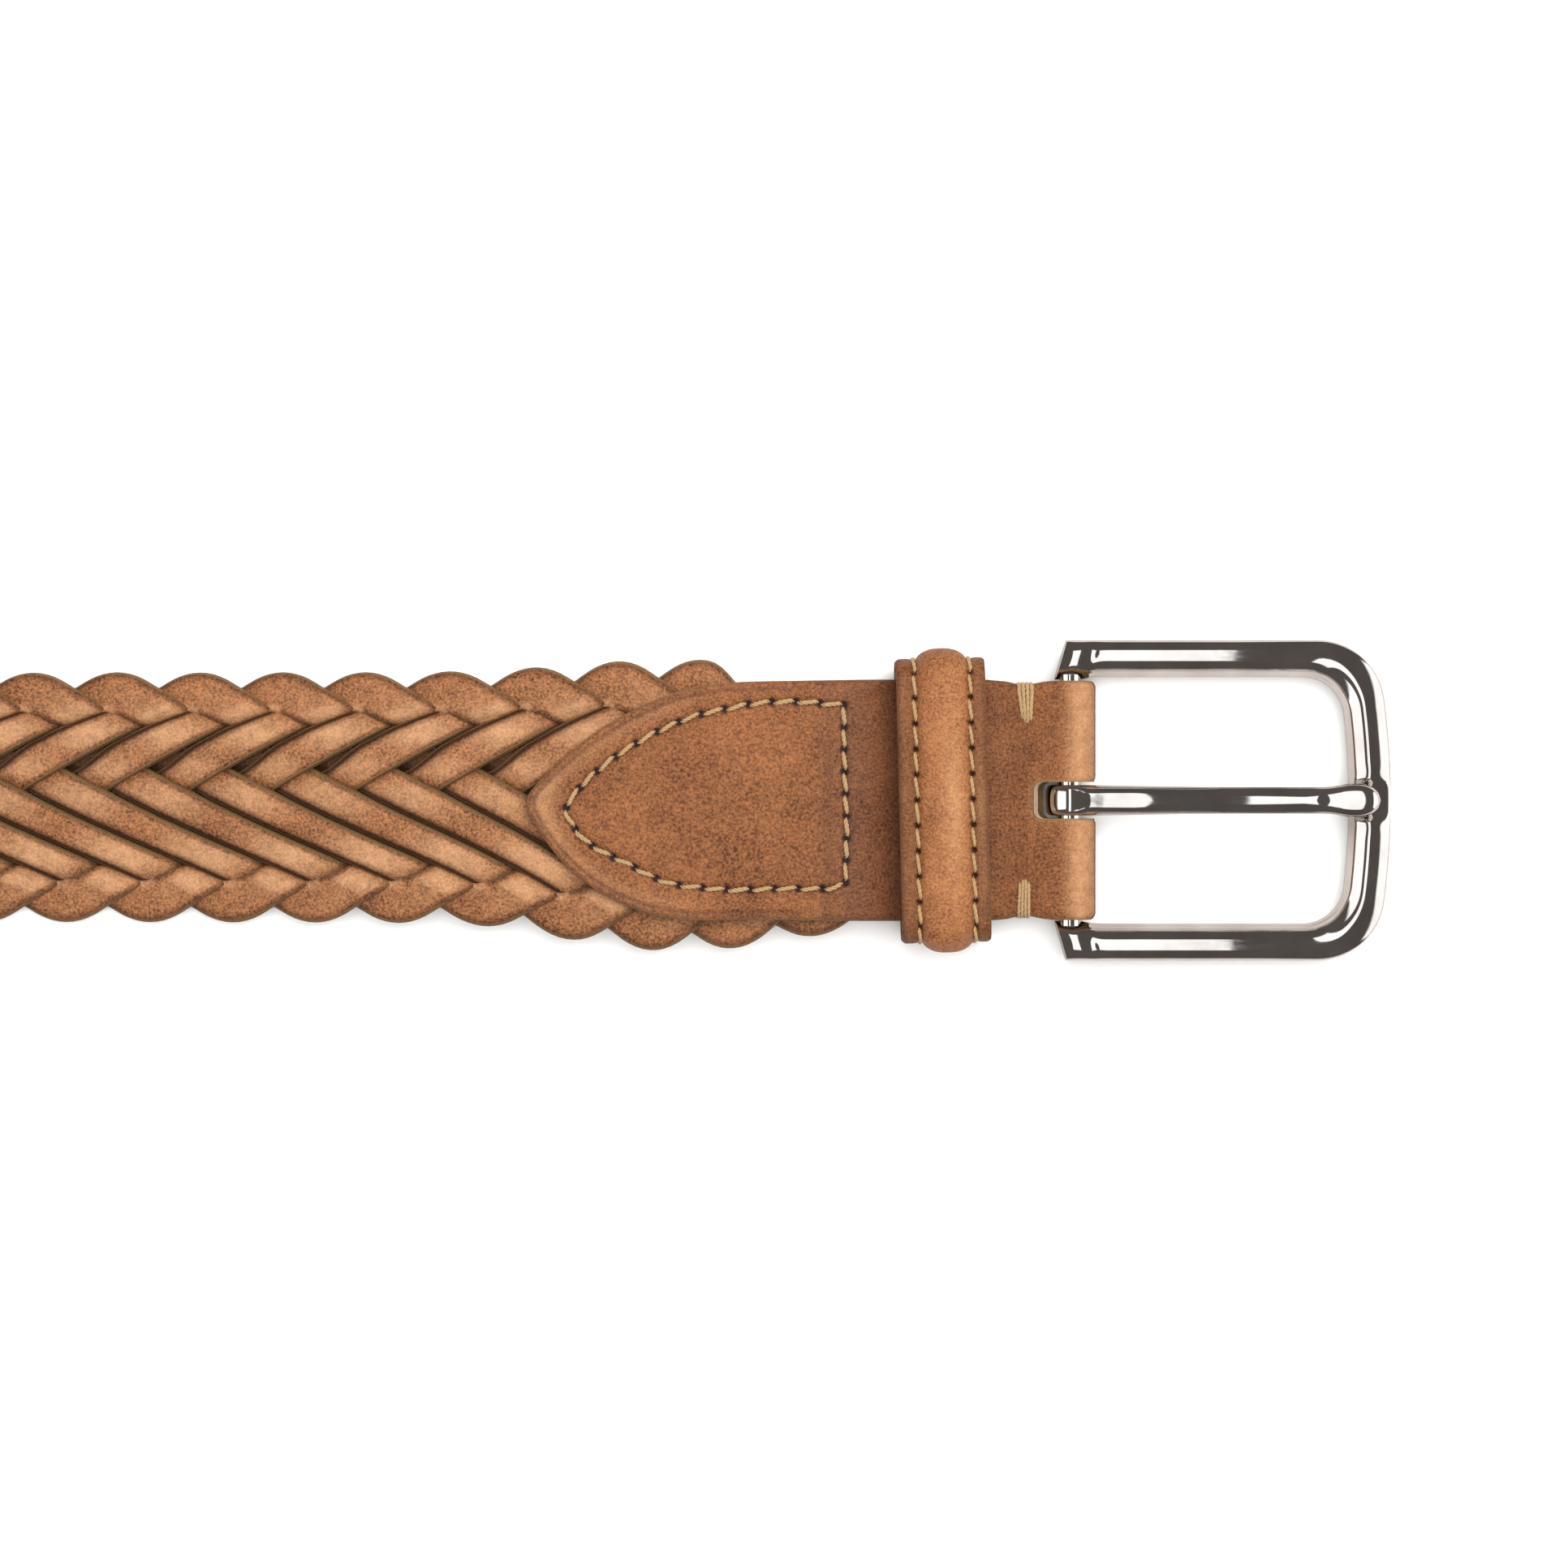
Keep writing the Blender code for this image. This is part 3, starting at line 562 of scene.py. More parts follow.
def strand_stations(number):
    """Rows of left u, v and out, right u, v and out, height, roll, light, turn and pinch, where out
    is how far an edge bulges outwards, light is painted highlight on rubbed places and pinch how much
    of the width is tucked away."""
    half = TOP_EDGE
    near = half + TURN_EASE
    loop = math.floor(BRAID_LEFT / PITCH) - 2 * STRANDS
    loop -= (loop - number) % STRANDS
    rows = []
    depths = np.linspace(near, STRANDS - near, DEPTH_STEPS)
    edge_depths = np.array([near, half, STRANDS - half, STRANDS - near])
    down, up = pass_height(depths, True), pass_height(depths, False)
    down_edge, up_edge = pass_height(edge_depths, True), pass_height(edge_depths, False)
    roll = smoothstep(depths, 0.7, 1.8) * smoothstep(-depths, -9.3, -8.2)
    pinch = 0.18 * smoothstep(depths, 3.2, 4.4) * smoothstep(-depths, -6.2, -5.2)

    def rubbed_and_highlit(*places):
        """Painted highlights on rubbed places along a pass, from how pale, at which depth and how long each
        one is.
        """
        return sum(share * bump(depths, place, reach) for share, place, reach in places)

    light = rubbed_and_highlit((0.80, 1.3, 0.36), (0.85, 7.75, 0.70), (0.62, 5.3, 0.65))
    going_down = list(zip(depths, down, roll, light))
    light = rubbed_and_highlit((0.80, 8.85, 0.40), (0.85, 2.3, 0.60), (0.50, 3.9, 0.45))
    going_up = list(zip(depths, up, roll, light, pinch))[::-1]
    while loop * PITCH < 0:
        low = loop + STRANDS
        u_low, u_high, v_low, v_high = loop - half, loop + half, low - half, low + half
        for d, h, lean, glow in going_down:
            rows.append((u_high, loop + d, 0, u_low, loop + d, 0, h, lean, glow, 0, 0))
        rows += turn_rows(
            [(u_high, low - near), (u_high + LOOP_DRAW, v_low - LOOP_DRAW), (loop + near, v_low)],
            [(u_low, low - near), (u_low, v_low), (u_high, v_high), (loop + near, v_high)],
            (down_edge[3], down_edge[2], up_edge[2], up_edge[3]), False,
        )
        for d, h, lean, glow, tuck in going_up:
            rows.append((low - d, v_low, 0, low - d, v_high, 0, h, -lean, glow, 0, tuck))
        rows += turn_rows(
            [(low - near, v_high), (v_low - LOOP_DRAW, v_high + LOOP_DRAW), (v_low, low + near)],
            [(low - near, v_low), (v_low, v_low), (v_high, v_high), (v_high, low + near)],
            (up_edge[0], up_edge[1], down_edge[1], down_edge[0]), True,
        )
        loop += STRANDS
    return np.array(rows)


def build_strand(number):
    rows = strand_stations(number)
    lu, lv, lo, ru, rv, ro, height, roll, light, turn, pinch = rows.T
    left = np.stack(lattice(lu, lv, lo), -1)
    right = np.stack(lattice(ru, rv, ro), -1)
    left = left + (right - left) * pinch[:, None]
    middle = (left + right) / 2
    inside = (middle[:, 0] > BRAID_LEFT) & (middle[:, 0] < BRAID_RIGHT)
    columns = (left, right, middle, height, roll, light, turn)
    left, right, middle, height, roll, light, turn = (column[inside] for column in columns)
    knots = np.arange(0, len(height) + WIDTH_STEP, WIDTH_STEP)
    wander = np.interp(np.arange(len(height)), knots, RNG.uniform(-1, 1, len(knots)))
    # low_pass marks where a strand passes under others: it paints shade there and widens the strand a little
    low_pass = smoothstep(-height, -0.35, 0.6) * (1 - np.abs(turn))
    width = (1 + WIDTH_CHANGE * wander) * (1 + 0.07 * low_pass)
    half = STRAND_THICKNESS / 2
    points, wear_and_shading = [], []

    def add(c, z, raw, glow, dark, spread_out=1.0):
        flat = middle + (right - left) / 2 * (c * spread_out * width)[:, None]
        points.append(settle(flat[:, 0], flat[:, 1], height + z))
        wear_and_shading.append(wear_and_shade_colour(raw, glow, dark))

    for c in TOP_ACROSS:
        tilt = -ROLL * roll * c
        # a painted highlight along the crease on a loop's inner edge, added to the painted highlight of the
        # strand's middle
        crease = 1.3 * bump(-c * turn, 0.78, 0.09) * smoothstep(np.abs(turn), 0.6, 0.95)
        dome = -DOME * abs(c) ** 2.6
        # the side turned towards the tip is tucked under its neighbour and painted dark as the shadow falls
        # there; both edges get painted shade too
        tucked = np.clip(roll * c, 0, 1)
        shade = 0.62 * smoothstep(tucked, 0.45, 0.95) + 0.55 * smoothstep(abs(c), 0.66, 1.0)
        dark = np.clip(shade + 0.80 * low_pass, 0, 0.94)
        glow = light * (1 - smoothstep(abs(c), 0.55, 0.95)) + crease
        raw = 0.70 * smoothstep(-roll * c, 0.90, 1.0) + 0.22 * (abs(c) > 0.99)
        add(c, half + dome + tilt + 0.10 * crease, raw, glow, dark)
    foot = FOOT_EDGE / TOP_EDGE
    # side walls and undersides are painted dark as shade, darker still under the passes
    low_dark = np.clip(0.40 + 0.6 * low_pass, 0, 0.95)
    side_wall = ((half - DOME - 0.42, foot * 0.4 + 0.6), (-half + 0.12, foot))
    for z, wide in side_wall:
        add(1.0, z - ROLL * roll, 0.6, 0.0, low_dark, wide)
    for c in (0.9, 0.0, -0.9):
        add(c, -half, 0.4, 0.0, low_dark * 0.7)
    for z, wide in side_wall[::-1]:
        add(-1.0, z + ROLL * roll, 0.75, 0.0, low_dark * 0.7, wide)
    name = f"strand_{number + 1:02d}"
    shades = np.stack(wear_and_shading, 1).reshape(-1, 3)
    shape = loft(np.stack(points, 1))
    make(f"plait_{name}", [shape], braid_tan, "strap", [name], shades, 45)


# ---- thread


PLIES = 3
ROUND = np.radians(range(0, 360, 60))
STITCH_STEPS = 11


def plied(path, side, radius, turn_length=2.1, phase=0.0):
    """Twisted plies along a path. side is a vector across the thread at each point."""
    tangent = unit(np.gradient(path, axis=0))
    side = unit(side - (side * tangent).sum(1)[:, None] * tangent)
    up = np.cross(tangent, side)
    along = arc_lengths(path)
    parts = []
    for k in range(PLIES):
        turn = phase + 2 * math.pi * (along / turn_length + k / PLIES)
        centre = path + radius * 0.50 * (np.cos(turn)[:, None] * side + np.sin(turn)[:, None] * up)
        ring = [centre + radius * 0.52 * (math.cos(a) * side + math.sin(a) * up) for a in ROUND]
        parts.append(loft(np.stack(ring, 1)))
    return parts


def stitch_row(path, normal, pitch, radius, slant=0.16, hole=0.62, dive=0.45, lift=0.16):
    """Separate stitches along a seam. Each one dives into its needle holes at both ends and rises
    by lift between them. Returns their parts and the places of the holes."""
    lengths = arc_lengths(path)
    marks = np.linspace(0, lengths[-1], max(2, round(lengths[-1] / pitch)) + 1)
    share = np.linspace(0, 1, STITCH_STEPS)
    bow = 1 - np.abs(2 * share - 1) ** 5
    parts = []
    for start, end in zip(marks[:-1], marks[1:]):
        room = hole * (0.92 + 0.16 * RNG.random())
        t = np.linspace(start + room / 2, end - room / 2, STITCH_STEPS)
        p = at_length(path, lengths, t)
        n = at_length(normal, lengths, t)
        side = np.cross(n, unit(np.gradient(p, axis=0)))
        p = p + n * (-dive + (dive + lift) * bow)[:, None]
        p = p + side * ((share - 0.5) * 2 * slant + 0.03 * RNG.uniform(-1, 1))[:, None]
        parts += plied(p, side, radius * RNG.uniform(0.94, 1.06), phase=RNG.uniform(0, 6.28))
    return parts, at_length(path, lengths, marks)


# ---- leather ends


def arch_half(x, point, length, nose=6.6):
    """Half-width of a pointed arch with a rounded nose."""
    drop = (length**2 - HALF_WIDTH**2) / (2 * HALF_WIDTH)
    radius = HALF_WIDTH + drop
    from_point = (x - point) * math.copysign(1, length)
    reach = np.clip(abs(length) - from_point - 0.6, 0, radius)
    half = np.sqrt(np.maximum(radius**2 - reach**2, 0)) - drop
    return np.clip(np.minimum(half, np.sqrt(np.maximum(2 * nose * from_point, 1e-4))), 0.02, HALF_WIDTH)


def chape_edges(x):
    half = arch_half(x, CHAPE_POINT, CHAPE_ARCH)
    neck = np.interp(x, [-48, -24, -12, -9, -6.4, -4.2, -2.5, 8], [0, 0.4, 0.4, 0.15, -0.45, 0.0, 0.2, 0.2])
    lean = -1.5 * smoothstep(x, -77.5, -70) * smoothstep(-x, 44, 68) - 0.5 * smoothstep(-x, 70, 76)
    return -(half + neck) + lean, half + neck + lean


def chape_front(x):
    low = CHAPE_FRONT_HIGH + (CHAPE_FRONT_LOW - CHAPE_FRONT_HIGH) * smoothstep(x, *CHAPE_SLOPE)
    return low + (BAR_Z + FOLD_INNER - CHAPE_FRONT_LOW) * smoothstep(x, FOLD_START, 0)


def chape_back(x):
    return CHAPE_BOTTOM + (BAR_Z - FOLD_INNER - LEATHER - CHAPE_BOTTOM) * smoothstep(x, FOLD_START, 0)


# the chape's seam: round the shield, and straight across the belt at its right end
SEAM_SHIELD = rounded([
    (-32.1, 13.4), (-39.5, 13.9), (-44.8, 13.6), (-48.5, 12.9), (-51.9, 12.2), (-56.6, 10.5), (-60.8, 8.3),
    (-64.6, 5.9), (-67.5, 3.5), (-69.5, 1.4), (-71.2, -1.5), (-69.1, -5.0), (-66.2, -7.2), (-62.9, -8.7),
    (-60.0, -10.3), (-56.8, -11.6), (-53.2, -12.2), (-46.9, -12.6), (-40.7, -12.4), (-34.2, -12.4),
    (-31.9, -11.6),
], 8)
SEAM_RIGHT = rounded([(-31.9, -11.6), (-31.7, -4.0), (-32.0, 5.0), (-32.1, 13.4)], 8)


def outline_line(edges, start, end, step=0.5):
    x = np.concatenate([start + np.linspace(0, 1, 30) ** 2 * 4, np.arange(start + 4.3, end, step)])
    low, high = edges(x)
    return np.concatenate([np.stack([x, high], -1)[::-1], np.stack([x, low], -1)])


def strip(path, normal, edges, columns, inner_columns, thickness, relief, wall_raw):
    """A closed strip of leather along a side profile. path is (x, z) of its middle layer and
    relief(x, y) gives the height change of the outer face and its raw edge, rub, painted highlight and
    painted shade."""
    low, high = edges
    ring_points, ring_wear_and_shading = [], []

    def row(share, offset, wear_and_shading, pull=0.0):
        y = low + (high - low) * share + pull * np.sign(share - 0.5)
        x, z = (path + normal * np.reshape(offset, (-1, 1))).T
        ring_points.append(np.stack([x, y, z], -1))
        ring_wear_and_shading.append(np.broadcast_to(wear_and_shading, (len(path), 3)))

    for share in np.linspace(0, 1, columns):
        change, wear_and_shading = relief(path[:, 0], low + (high - low) * share)
        row(share, thickness / 2 + change, wear_and_shading)
    # the cut walls, and more so the inner face, are painted darker as shade
    wall = ((0.1, (wall_raw, 0, 0.15), 0.10), (0.2 - thickness / 2, (wall_raw, 0, 0.25), 0.04))
    for offset, wear_and_shading, pull in wall:
        row(1.0, offset, wear_and_shading, pull)
    for share in np.linspace(0.98, 0.02, inner_columns):
        row(share, -thickness / 2, (0.4, 0, 0.5))
    for offset, wear_and_shading, pull in wall[::-1]:
        row(0.0, offset, wear_and_shading, pull)
    return loft(np.stack(ring_points, 1)), np.stack(ring_wear_and_shading, 1).reshape(-1, 3)


def chape_relief(outline, holes, front_count):
    """The chape's outer face, with its relief, painted shade and painted highlights. Its first front_count
    rows lie on the belt's right side.
    """

    def relief(x, y):
        points = np.stack([x, y], -1)
        edge = polyline_distance(points, outline)
        front = np.arange(len(x)) < front_count
        seam = np.minimum(polyline_distance(points, SEAM_SHIELD), polyline_distance(points, SEAM_RIGHT))
        seam = np.where(front, seam, 9)
        change = -0.42 * np.clip(1 - edge / 0.85, 0, 1) ** 2
        change = change - 0.26 * bump(seam, 0, 0.55)
        pillow = 0.28 * smoothstep(edge, 3.7, 7.0) * smoothstep(-x, 32.6, 35.5)
        change = change + front * pillow
        bead = smoothstep(edge, 0.4, 1.6) * (1 - smoothstep(edge, 1.6, 3.0))
        change = change + front * 0.10 * bead
        near_hole = np.min([np.hypot(x - hole[0], y - hole[1]) for hole in holes], 0)
        near_hole = np.where(front, near_hole, 9)
        change = change - 0.45 * smoothstep(-near_hole, -0.62, -0.18)
        # painted shade in the needle holes and along the seam
        dark = 1.0 * smoothstep(-near_hole, -0.72, -0.42) + 0.30 * bump(seam, 0, 0.5)
        # burnished leather painted darker and purple-brown, as shade and sheen, on the way down to the
        # keeper, and painted shade in the seam's hollow
        slope = smoothstep(x, -33.2, -31.2) * smoothstep(-x, 22.0, 24.0)
        dark = dark + front * (0.36 * slope + 0.30 * bump(x, -34.2, 1.6))
        neck = smoothstep(x, -13, -11) * smoothstep(-x, 4.5, 6.5)
        dark = dark + np.where(front, 0.12 * neck, 0.10)
        # painted shade along the rounded edge
        dark = dark + 0.35 * np.clip(1 - edge / 0.45, 0, 1)
        # painted highlights: at the point, along the bead inside the edge and over the fold's crest
        light = 0.36 * bump(x, -74.0, 1.8) * smoothstep(edge, 0.4, 1.2)
        light = light + 0.26 * bump(edge, 1.7, 1.0) * smoothstep(-x, 50, 58)
        # a creased groove inside the edge, with painted shade in it
        groove = front * bump(edge, 0.95, 0.28) * smoothstep(-x, 34, 42)
        change = change - 0.16 * groove
        dark = dark + 0.42 * groove
        light = front * (light + 0.85 * smoothstep(x, -2.5, 1.0) * bump(x, 1.2, 2.3))
        to_slot = np.maximum(SLOT_END + SLOT_CORNER - x, 0), np.maximum(np.abs(y) - SLOT_FLAT, 0)
        slot = np.hypot(*to_slot) - SLOT_CORNER
        rim = np.where(x > SLOT_END - 1.5, np.clip(1 - np.abs(slot - 0.1) / 0.45, 0, 1), 0)
        change = change - 0.25 * rim
        raw = 0.25 * np.clip(1 - edge / 0.3, 0, 1) + 0.55 * rim
        dimple = np.hypot(x - DIMPLE[0], y - DIMPLE[1])
        change = change - front * 0.12 * bump(dimple, 0, 1.1)
        # painted shade in the small hollow
        dark = dark + front * 0.12 * bump(dimple, 0, 1.2)
        return change, wear_and_shade_colour(raw, light, dark)

    return relief


def on_face(height, offset, up):
    """A function that lays a line on a face and gives it there, with the face's normals."""

    def lay(line):
        path = np.stack([line[:, 0], line[:, 1], height(line[:, 0]) + offset], -1)
        return path, np.tile(np.array([0.0, 0.0, up]), (len(line), 1))

    return lay


def slot_ring(end, z):
    """Outline of the prong's slot at a height, with two rounded corners and open past the fold."""
    angles = np.radians(np.linspace(90, 180, 8))
    corner = [(end + SLOT_CORNER * (1 + math.cos(a)), SLOT_FLAT + SLOT_CORNER * math.sin(a)) for a in angles]
    outline = corner + [(x, -y) for x, y in reversed(corner)] + [(12, -SLOT_HALF), (12, SLOT_HALF)]
    return np.array([(x, y, z) for x, y in outline])


def build_chape():
    front_x = np.concatenate([
        CHAPE_POINT + 4 * np.linspace(0, 1, 22) ** 2,
        np.arange(CHAPE_POINT + 4.25, -28, 0.25),
        np.arange(-28, 0, 0.4),
    ])
    turn = np.radians(np.linspace(90, -90, 27))
    nose = CHAPE_POINT + 4 * np.linspace(1, 0, 12) ** 2
    back_x = np.concatenate([np.arange(-0.8, CHAPE_POINT + 4, -1.0), nose])
    middle_radius = FOLD_INNER + LEATHER / 2
    path = np.concatenate([
        np.stack([front_x, chape_front(front_x) + LEATHER / 2], -1),
        np.stack([middle_radius * np.cos(turn), BAR_Z + middle_radius * np.sin(turn)], -1),
        np.stack([back_x, chape_back(back_x) + LEATHER / 2], -1),
    ])
    tangent = unit(np.gradient(path, axis=0))
    normal = np.stack([-tangent[:, 1], tangent[:, 0]], -1)
    outline = outline_line(chape_edges, CHAPE_POINT, 12)
    top = on_face(chape_front, LEATHER - 0.12, 1.0)
    parts, holes = stitch_row(*top(SEAM_SHIELD), SHIELD_PITCH, 0.33, slant=0.20, hole=0.90)
    more, more_holes = stitch_row(*top(SEAM_RIGHT), RIGHT_PITCH, 0.33, slant=0.12, hole=1.00)
    holes = np.concatenate([holes, more_holes[1:-1]])
    relief = chape_relief(outline, holes[:, :2], len(front_x) + 10)
    shape, wear_and_shading = strip(path, normal, chape_edges(path[:, 0]), 138, 9, LEATHER, relief, 0.75)
    chape = make("chape_hide", [shape], chape_tan, "strap", ["chape_leather"], wear_and_shading)
    # the front slot's end slants with the lifted prong, the back one is upright
    front_cut = np.stack([slot_ring(SLOT_END + SLOT_SLANT * (SLOT_TOP - z), z) for z in (BAR_Z, 20)])
    back_cut = np.stack([slot_ring(SLOT_BACK_END, z) for z in (-5, BAR_Z + 0.01)])
    for rings in (front_cut, back_cut):
        combine(chape, "DIFFERENCE", [loft(rings)], suede)
    stitches("chape_stitches_front", parts + more, replaces=["chape_thread"])
    below = on_face(chape_back, 0.02, -1.0)
    parts, _ = stitch_row(*below(SEAM_SHIELD), SHIELD_PITCH, 0.30, hole=0.9, lift=0.10)
    more, _ = stitch_row(*below(SEAM_RIGHT), RIGHT_PITCH, 0.30, hole=0.9, lift=0.10)
    stitches("chape_stitches_back", parts + more)


def build_bar_tack(name, side, x_hole, x_edge, y_hole, spread_at_edge, spread_at_hole):
    """Threads that go over the edge of the neck and close the fold."""
    parts = []
    edge_low, edge_high = chape_edges(x_edge)
    edge = abs(float(edge_high if side > 0 else edge_low)) + 0.12
    for i, offset in enumerate((-1.5, -0.5, 0.5, 1.5)):
        x_outer = x_edge + offset * spread_at_edge
        x_inner = x_hole + offset * spread_at_hole
        top = float(chape_front(x_outer)) + LEATHER + 0.12
        low = float(chape_back(x_outer)) - 0.10
        y_start = y_hole + 0.4 * abs(offset)
        points = [
            (x_inner, side * (y_start - 0.25), top - 0.75),
            (x_inner, side * y_start, top - 0.15),
            (x_inner * 0.7 + x_outer * 0.3, side * (y_start + 1.0), top + 0.10),
            (x_outer, side * (edge - 1.2), top + 0.05),
            (x_outer, side * (edge - 0.1), top - 0.35),
            (x_outer, side * (edge + 0.18), (top + low) / 2 + 0.6),
            (x_outer, side * (edge + 0.18), (top + low) / 2 - 0.6),
            (x_outer, side * (edge - 0.1), low + 0.30),
            (x_outer, side * (edge - 1.2), low),
            (x_inner, side * y_start, low + 0.05),
            (x_inner, side * (y_start - 0.25), low + 0.6),
        ]
        path = rounded(points, 5)
        across = np.tile(np.array([1.0, 0.0, 0.0]), (len(path), 1))
        parts += plied(path, across, 0.53 * spread_at_edge, turn_length=2.2, phase=i * 1.3)
    stitches(f"{name}_threads", parts, replaces=[name])


def tip_edges(x):
    near_end = arch_half(x, TIP_END, TIP_ARCH, TIP_NOSE)
    shield = arch_half(x, TIP_SHIELD, -CHAPE_ARCH)
    half = np.minimum(near_end, shield)
    return -half, half


def tip_front(x):
    return TIP_FRONT_HIGH + (TIP_FRONT_LOW - TIP_FRONT_HIGH) * smoothstep(-x, -TIP_SLOPE[0], -TIP_SLOPE[1])


def tip_seam():
    """The tip's seam as a closed line, TIP_MARGIN inside the edge."""
    x = np.concatenate([
        TIP_END + 3.4 + 8 * np.linspace(0, 1, 12) ** 2,
        np.arange(TIP_END + 12, TIP_SHIELD - 12, 1.5),
        TIP_SHIELD - 3.6 - 8 * np.linspace(1, 0, 12) ** 2,
    ])

    def inside_arch(length, from_point):
        drop = (length**2 - HALF_WIDTH**2) / (2 * HALF_WIDTH)
        reach = np.clip(length - from_point, 0, 99)
        return np.sqrt(np.maximum((HALF_WIDTH + drop - TIP_MARGIN) ** 2 - reach**2, 0)) - drop

    half = np.minimum(inside_arch(CHAPE_ARCH, TIP_SHIELD - x), inside_arch(TIP_ARCH, x - TIP_END))
    half = np.clip(half, 0, HALF_WIDTH - TIP_MARGIN)
    keep = half > 0.05
    x, half = x[keep], half[keep]
    return np.concatenate([np.stack([x, half], -1), np.stack([x[::-1], -half[::-1]], -1), [[x[0], half[0]]]])


def build_tip():
    seam = tip_seam()
    ends = 6 * np.linspace(0, 1, 16) ** 2
    middle = np.arange(TIP_END + 6.7, TIP_SHIELD - 6.3, 0.8)
    x = np.concatenate([TIP_END + ends, middle, TIP_SHIELD - ends[::-1]])
    x[0] += 0.002
    x[-1] -= 0.002
    outline = outline_line(tip_edges, TIP_END, TIP_SHIELD, 0.8)
    top, below = on_face(tip_front, TIP_LEATHER - 0.10, 1.0), on_face(np.zeros_like, 0.24, -1.0)
    parts, _ = stitch_row(*top(seam), TIP_PITCH, 0.33, hole=0.75)
    back_parts, _ = stitch_row(*below(seam), TIP_PITCH, 0.20, hole=0.9, dive=0.2, lift=-0.02)
    centres = [TIP_END + LAST_HOLE + i * HOLE_PITCH for i in range(HOLES)]

    def relief(x, y):
        points = np.stack([x, y], -1)
        edge = polyline_distance(points, outline)
        near = polyline_distance(points, seam)
        change = -0.40 * np.clip(1 - edge / 0.9, 0, 1) ** 2 - 0.22 * bump(near, 0, 0.6)
        near_punch = np.min([np.hypot(x - c, y) for c in centres], 0) - HOLE_RADIUS
        change = change - 0.22 * np.clip(1 - np.abs(near_punch) / 0.8, 0, 1)
        # painted shade along the seam, at the edge and round the punched holes
        dark = 0.30 * bump(near, 0, 0.6) + 0.35 * np.clip(1 - edge / 0.5, 0, 1)
        dark = dark + 0.45 * np.clip(1 - np.abs(near_punch) / 1.1, 0, 1)
        raw = 0.2 * np.clip(1 - edge / 0.3, 0, 1)
        # a painted highlight along the bead inside the edge
        return change, wear_and_shade_colour(raw, 0.3 * bump(edge, 1.6, 0.9), np.clip(dark, 0, 0.9))

    angles = np.radians(np.arange(0, 360, 12))
    circle = HOLE_RADIUS * np.stack([np.cos(angles), np.sin(angles), 0 * angles], -1)
    posts = [loft(np.stack([circle + (c, 0, -5), circle + (c, 0, 12)])) for c in centres]
    for side, low, up in (("front", tip_front(x), 1.0), ("back", 0 * x, -1.0)):
        path = np.stack([x, low + TIP_LEATHER / 2], -1)
        normal = np.tile(np.array([0.0, up]), (len(x), 1))
        shape, wear_and_shading = strip(path, normal, tip_edges(x), 56, 7, TIP_LEATHER, relief, 0.6)
        name = f"tip_hide_{side}"
        piece = make(name, [shape], chape_tan, "strap", [f"tip_{side}"], wear_and_shading)
        combine(piece, "DIFFERENCE", posts, suede)
    stitches("tip_stitches_front", parts, replaces=["tip_thread"])
    stitches("tip_stitches_back", back_parts)


# ---- keeper


KEEPER_TURN = Matrix.Translation((KEEPER_X * MM, 0, 0)) @ Matrix.Rotation(KEEPER_TILT, 4, "Z")


KEEPER_ROWS = (-3.75, 4.05)  # places of its two rows of stitches
CORNER_STEPS = 9
LONG_STEPS = 140
SIDE_STEPS = 22


def keeper_ring():
    """The room inside the keeper as rows of (y, z, outward y, outward z). They start at the upper
    side's corner and go along the front first."""
    cy = KEEPER_HALF - KEEPER_CORNER
    low = KEEPER_LOW + KEEPER_CORNER
    high = KEEPER_HIGH - KEEPER_CORNER
    rows = []

    def straight(start, end, out, steps):
        for t in np.linspace(0, 1, steps + 1)[1:-1]:
            rows.append((start[0] + (end[0] - start[0]) * t, start[1] + (end[1] - start[1]) * t, *out))

    def corner(y, z, first):
        for a in np.radians(np.linspace(first, first + 90, CORNER_STEPS)):
            out = math.cos(a), math.sin(a)
            rows.append((y + KEEPER_CORNER * out[0], z + KEEPER_CORNER * out[1], *out))

    corner(cy, high, 0)
    straight((cy, KEEPER_HIGH), (-cy, KEEPER_HIGH), (0, 1), LONG_STEPS)
    corner(-cy, high, 90)
    straight((-KEEPER_HALF, high), (-KEEPER_HALF, low), (-1, 0), SIDE_STEPS)
    corner(-cy, low, 180)
    straight((-cy, KEEPER_LOW), (cy, KEEPER_LOW), (0, -1), LONG_STEPS // 3)
    corner(cy, low, 270)
    straight((KEEPER_HALF, low), (KEEPER_HALF, high), (1, 0), SIDE_STEPS)
    return np.array(rows)


